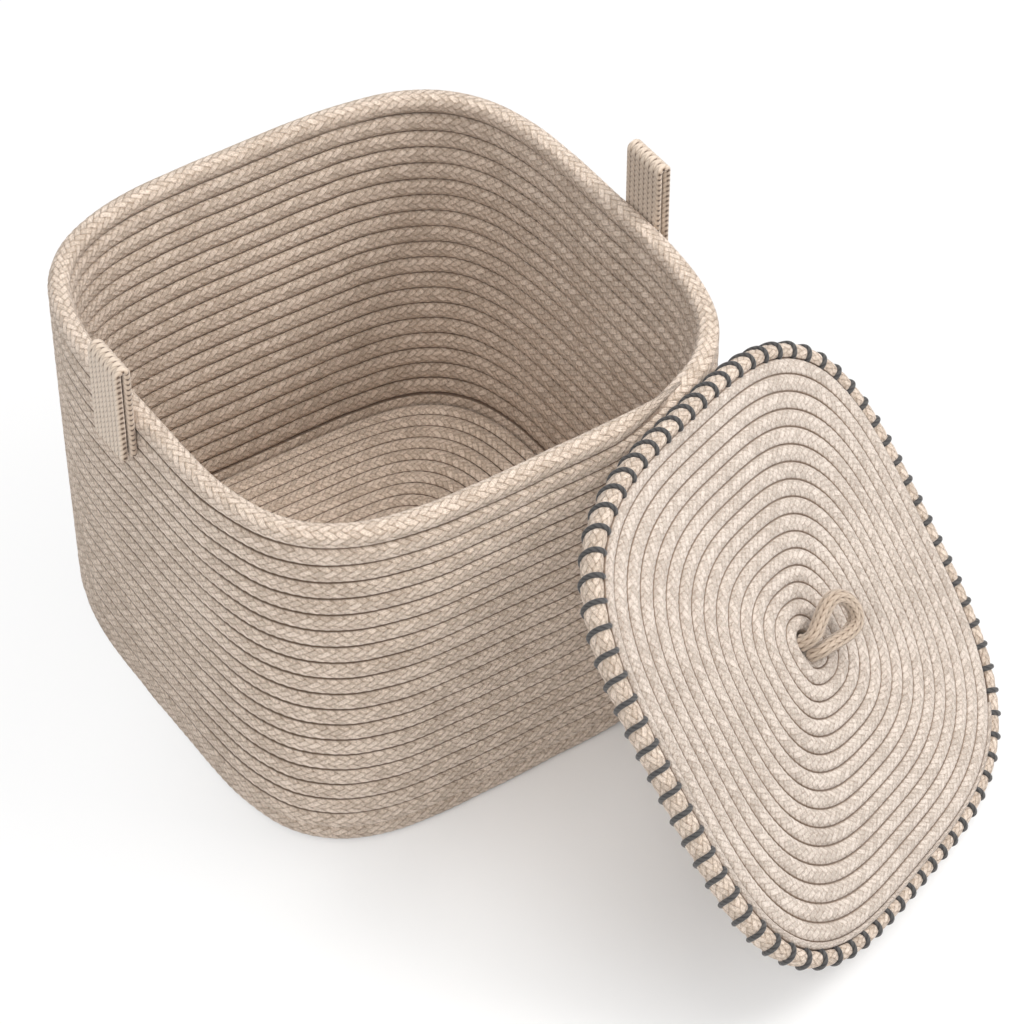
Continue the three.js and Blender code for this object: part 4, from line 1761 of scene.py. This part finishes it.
@dataclass(frozen=True)
class Studio:
    """Pale floor, plain surroundings and soft lights.

    Attributes:
        lamps: the lights.
        sky: strength of the surroundings' light.
        floor_half: half the floor's width, in metres.
        floor_drop: how far it lies under the basket, so that they don't share a plane.
        floor_glow: strength of the painted light that the camera sees on the floor, 0 to 1, which
            brings the white background and, growing away from darkest, fades the shadow.
        darkest: place on the floor with no painted light, where the lid's shadow is deepest.
        glow_from: distance from there at which the painted light starts.
        glow_full: distance at which it is full.
    """

    lamps: tuple[Lamp, ...] = (
        Lamp("key", (1.5, -1.0, 2.2), 49.0),
        Lamp("top", (0.1, 0.0, 2.6), 19.0),
        Lamp("left", (-1.55, -1.5, 2.0), 28.5),
    )
    sky: float = 0.5
    floor_half: float = 6.0
    floor_drop: float = 0.0004
    floor_glow: float = 0.85
    darkest: Point = (0.03, -0.2, 0.0)
    glow_from: float = 0.03
    glow_full: float = 0.32

    def build(self) -> None:
        """Makes the floor, the surroundings and the lights."""
        self._floor()
        self._surroundings()
        for lamp in self.lamps:
            lamp.build()
        bpy.context.scene.view_settings.view_transform = "Standard"

    def _floor(self) -> None:
        """Makes the floor."""
        side = self.floor_half
        mesh = bpy.data.meshes.new("floor")
        mesh.from_pydata([(-side, -side, 0), (side, -side, 0), (side, side, 0), (-side, side, 0)],
                         [], [(0, 1, 2, 3)])
        floor = bpy.data.objects.new("floor", mesh)
        floor.location.z = -self.floor_drop
        graph = Graph("pale_floor")
        bump = graph.node("ShaderNodeBump")
        bump.inputs["Strength"].default_value = 0.02
        graph.put(bump.inputs["Height"], graph.noise(60.0, 2.0))
        mesh.materials.append(graph.finish((0.93, 0.93, 0.93, 1.0), 0.7, bump.outputs[0]))
        self._paint_floor_light(graph)
        bpy.context.scene.collection.objects.link(floor)

    def _surroundings(self) -> None:
        """Makes the surroundings: white to the camera, and a soft light on the basket."""
        world = bpy.data.worlds.new("studio")
        world.use_nodes = True
        tree = world.node_tree
        back = tree.nodes["Background"]
        back.inputs["Color"].default_value = (1.0, 1.0, 1.0, 1.0)
        seen = tree.nodes.new("ShaderNodeLightPath").outputs["Is Camera Ray"]
        level = tree.nodes.new("ShaderNodeMapRange")
        level.inputs["To Min"].default_value = self.sky
        level.inputs["To Max"].default_value = 1.0
        tree.links.new(seen, level.inputs["Value"])
        tree.links.new(level.outputs["Result"], back.inputs["Strength"])
        bpy.context.scene.world = world

    def _paint_floor_light(self, graph: Graph) -> None:
        """Adds painted light that the camera sees on the floor, none at darkest and more further
        away, so that the floor is paler and its shadow fades away from there.
        """
        output = next(n for n in graph.tree.nodes if n.bl_idname == "ShaderNodeOutputMaterial")
        lit = output.inputs["Surface"].links[0].from_socket
        # Painted light: an emission that only the camera sees, graded by distance from darkest.
        glow = graph.node("ShaderNodeEmission")
        seen = graph.node("ShaderNodeLightPath").outputs["Is Camera Ray"]
        mixed = graph.node("ShaderNodeMixShader")
        away = graph.node("ShaderNodeVectorMath", operation="DISTANCE")
        graph.put(away.inputs[0], graph.node("ShaderNodeTexCoord").outputs["Object"])
        graph.put(away.inputs[1], self.darkest)
        paler = graph.ranged(away.outputs["Value"], self.glow_from, self.glow_full, 0.0,
                             self.floor_glow)
        graph.put(mixed.inputs[0], graph.times(seen, paler))
        graph.put(mixed.inputs[1], lit)
        graph.put(mixed.inputs[2], glow.outputs[0])
        graph.put(output.inputs["Surface"], mixed.outputs[0])


class Scene:
    """The whole dressed basket."""

    def __init__(self) -> None:
        """Sets the sizes, the pose and the plaits."""
        self.sizes = BasketSizes()
        self.lid_pose = LidPose().matrix()
        self.wall_plait = Plait(columns=10, pitch=5.8, depth=0.36)
        self.panel_plait = Plait(columns=8, pitch=4.6, depth=0.2)

    def build(self) -> None:
        """Makes every piece."""
        finishes = Finishes(self.wall_plait, self.panel_plait)
        Shot().build()
        Studio().build()
        Wall(self.sizes, self.wall_plait).build(finishes.wall)
        Base(self.sizes, self.panel_plait).build(finishes.base)
        LidPanel(self.sizes, self.panel_plait).build(finishes.lid, self.lid_pose)
        LidEdge(self.sizes, self.wall_plait).build(finishes.wall, finishes.cord, self.lid_pose)
        PullLoop(LoopShape(), self.panel_plait).build(
            finishes.loop, finishes.lid, self.lid_pose)
        for side, along, body, name in ((-1, 5.0, Body.TAB_LEFT, "left"),
                                        (1, -18.0, Body.TAB_RIGHT, "right")):
            WebbingTab(StrapShape(side, along), body, name).build(finishes.webbing)


def main() -> None:
    """Dresses the frame."""
    logging.basicConfig(level=logging.INFO, format="%(name)s %(message)s")
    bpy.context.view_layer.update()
    Scene().build()


if __name__ == "__main__":
    main()
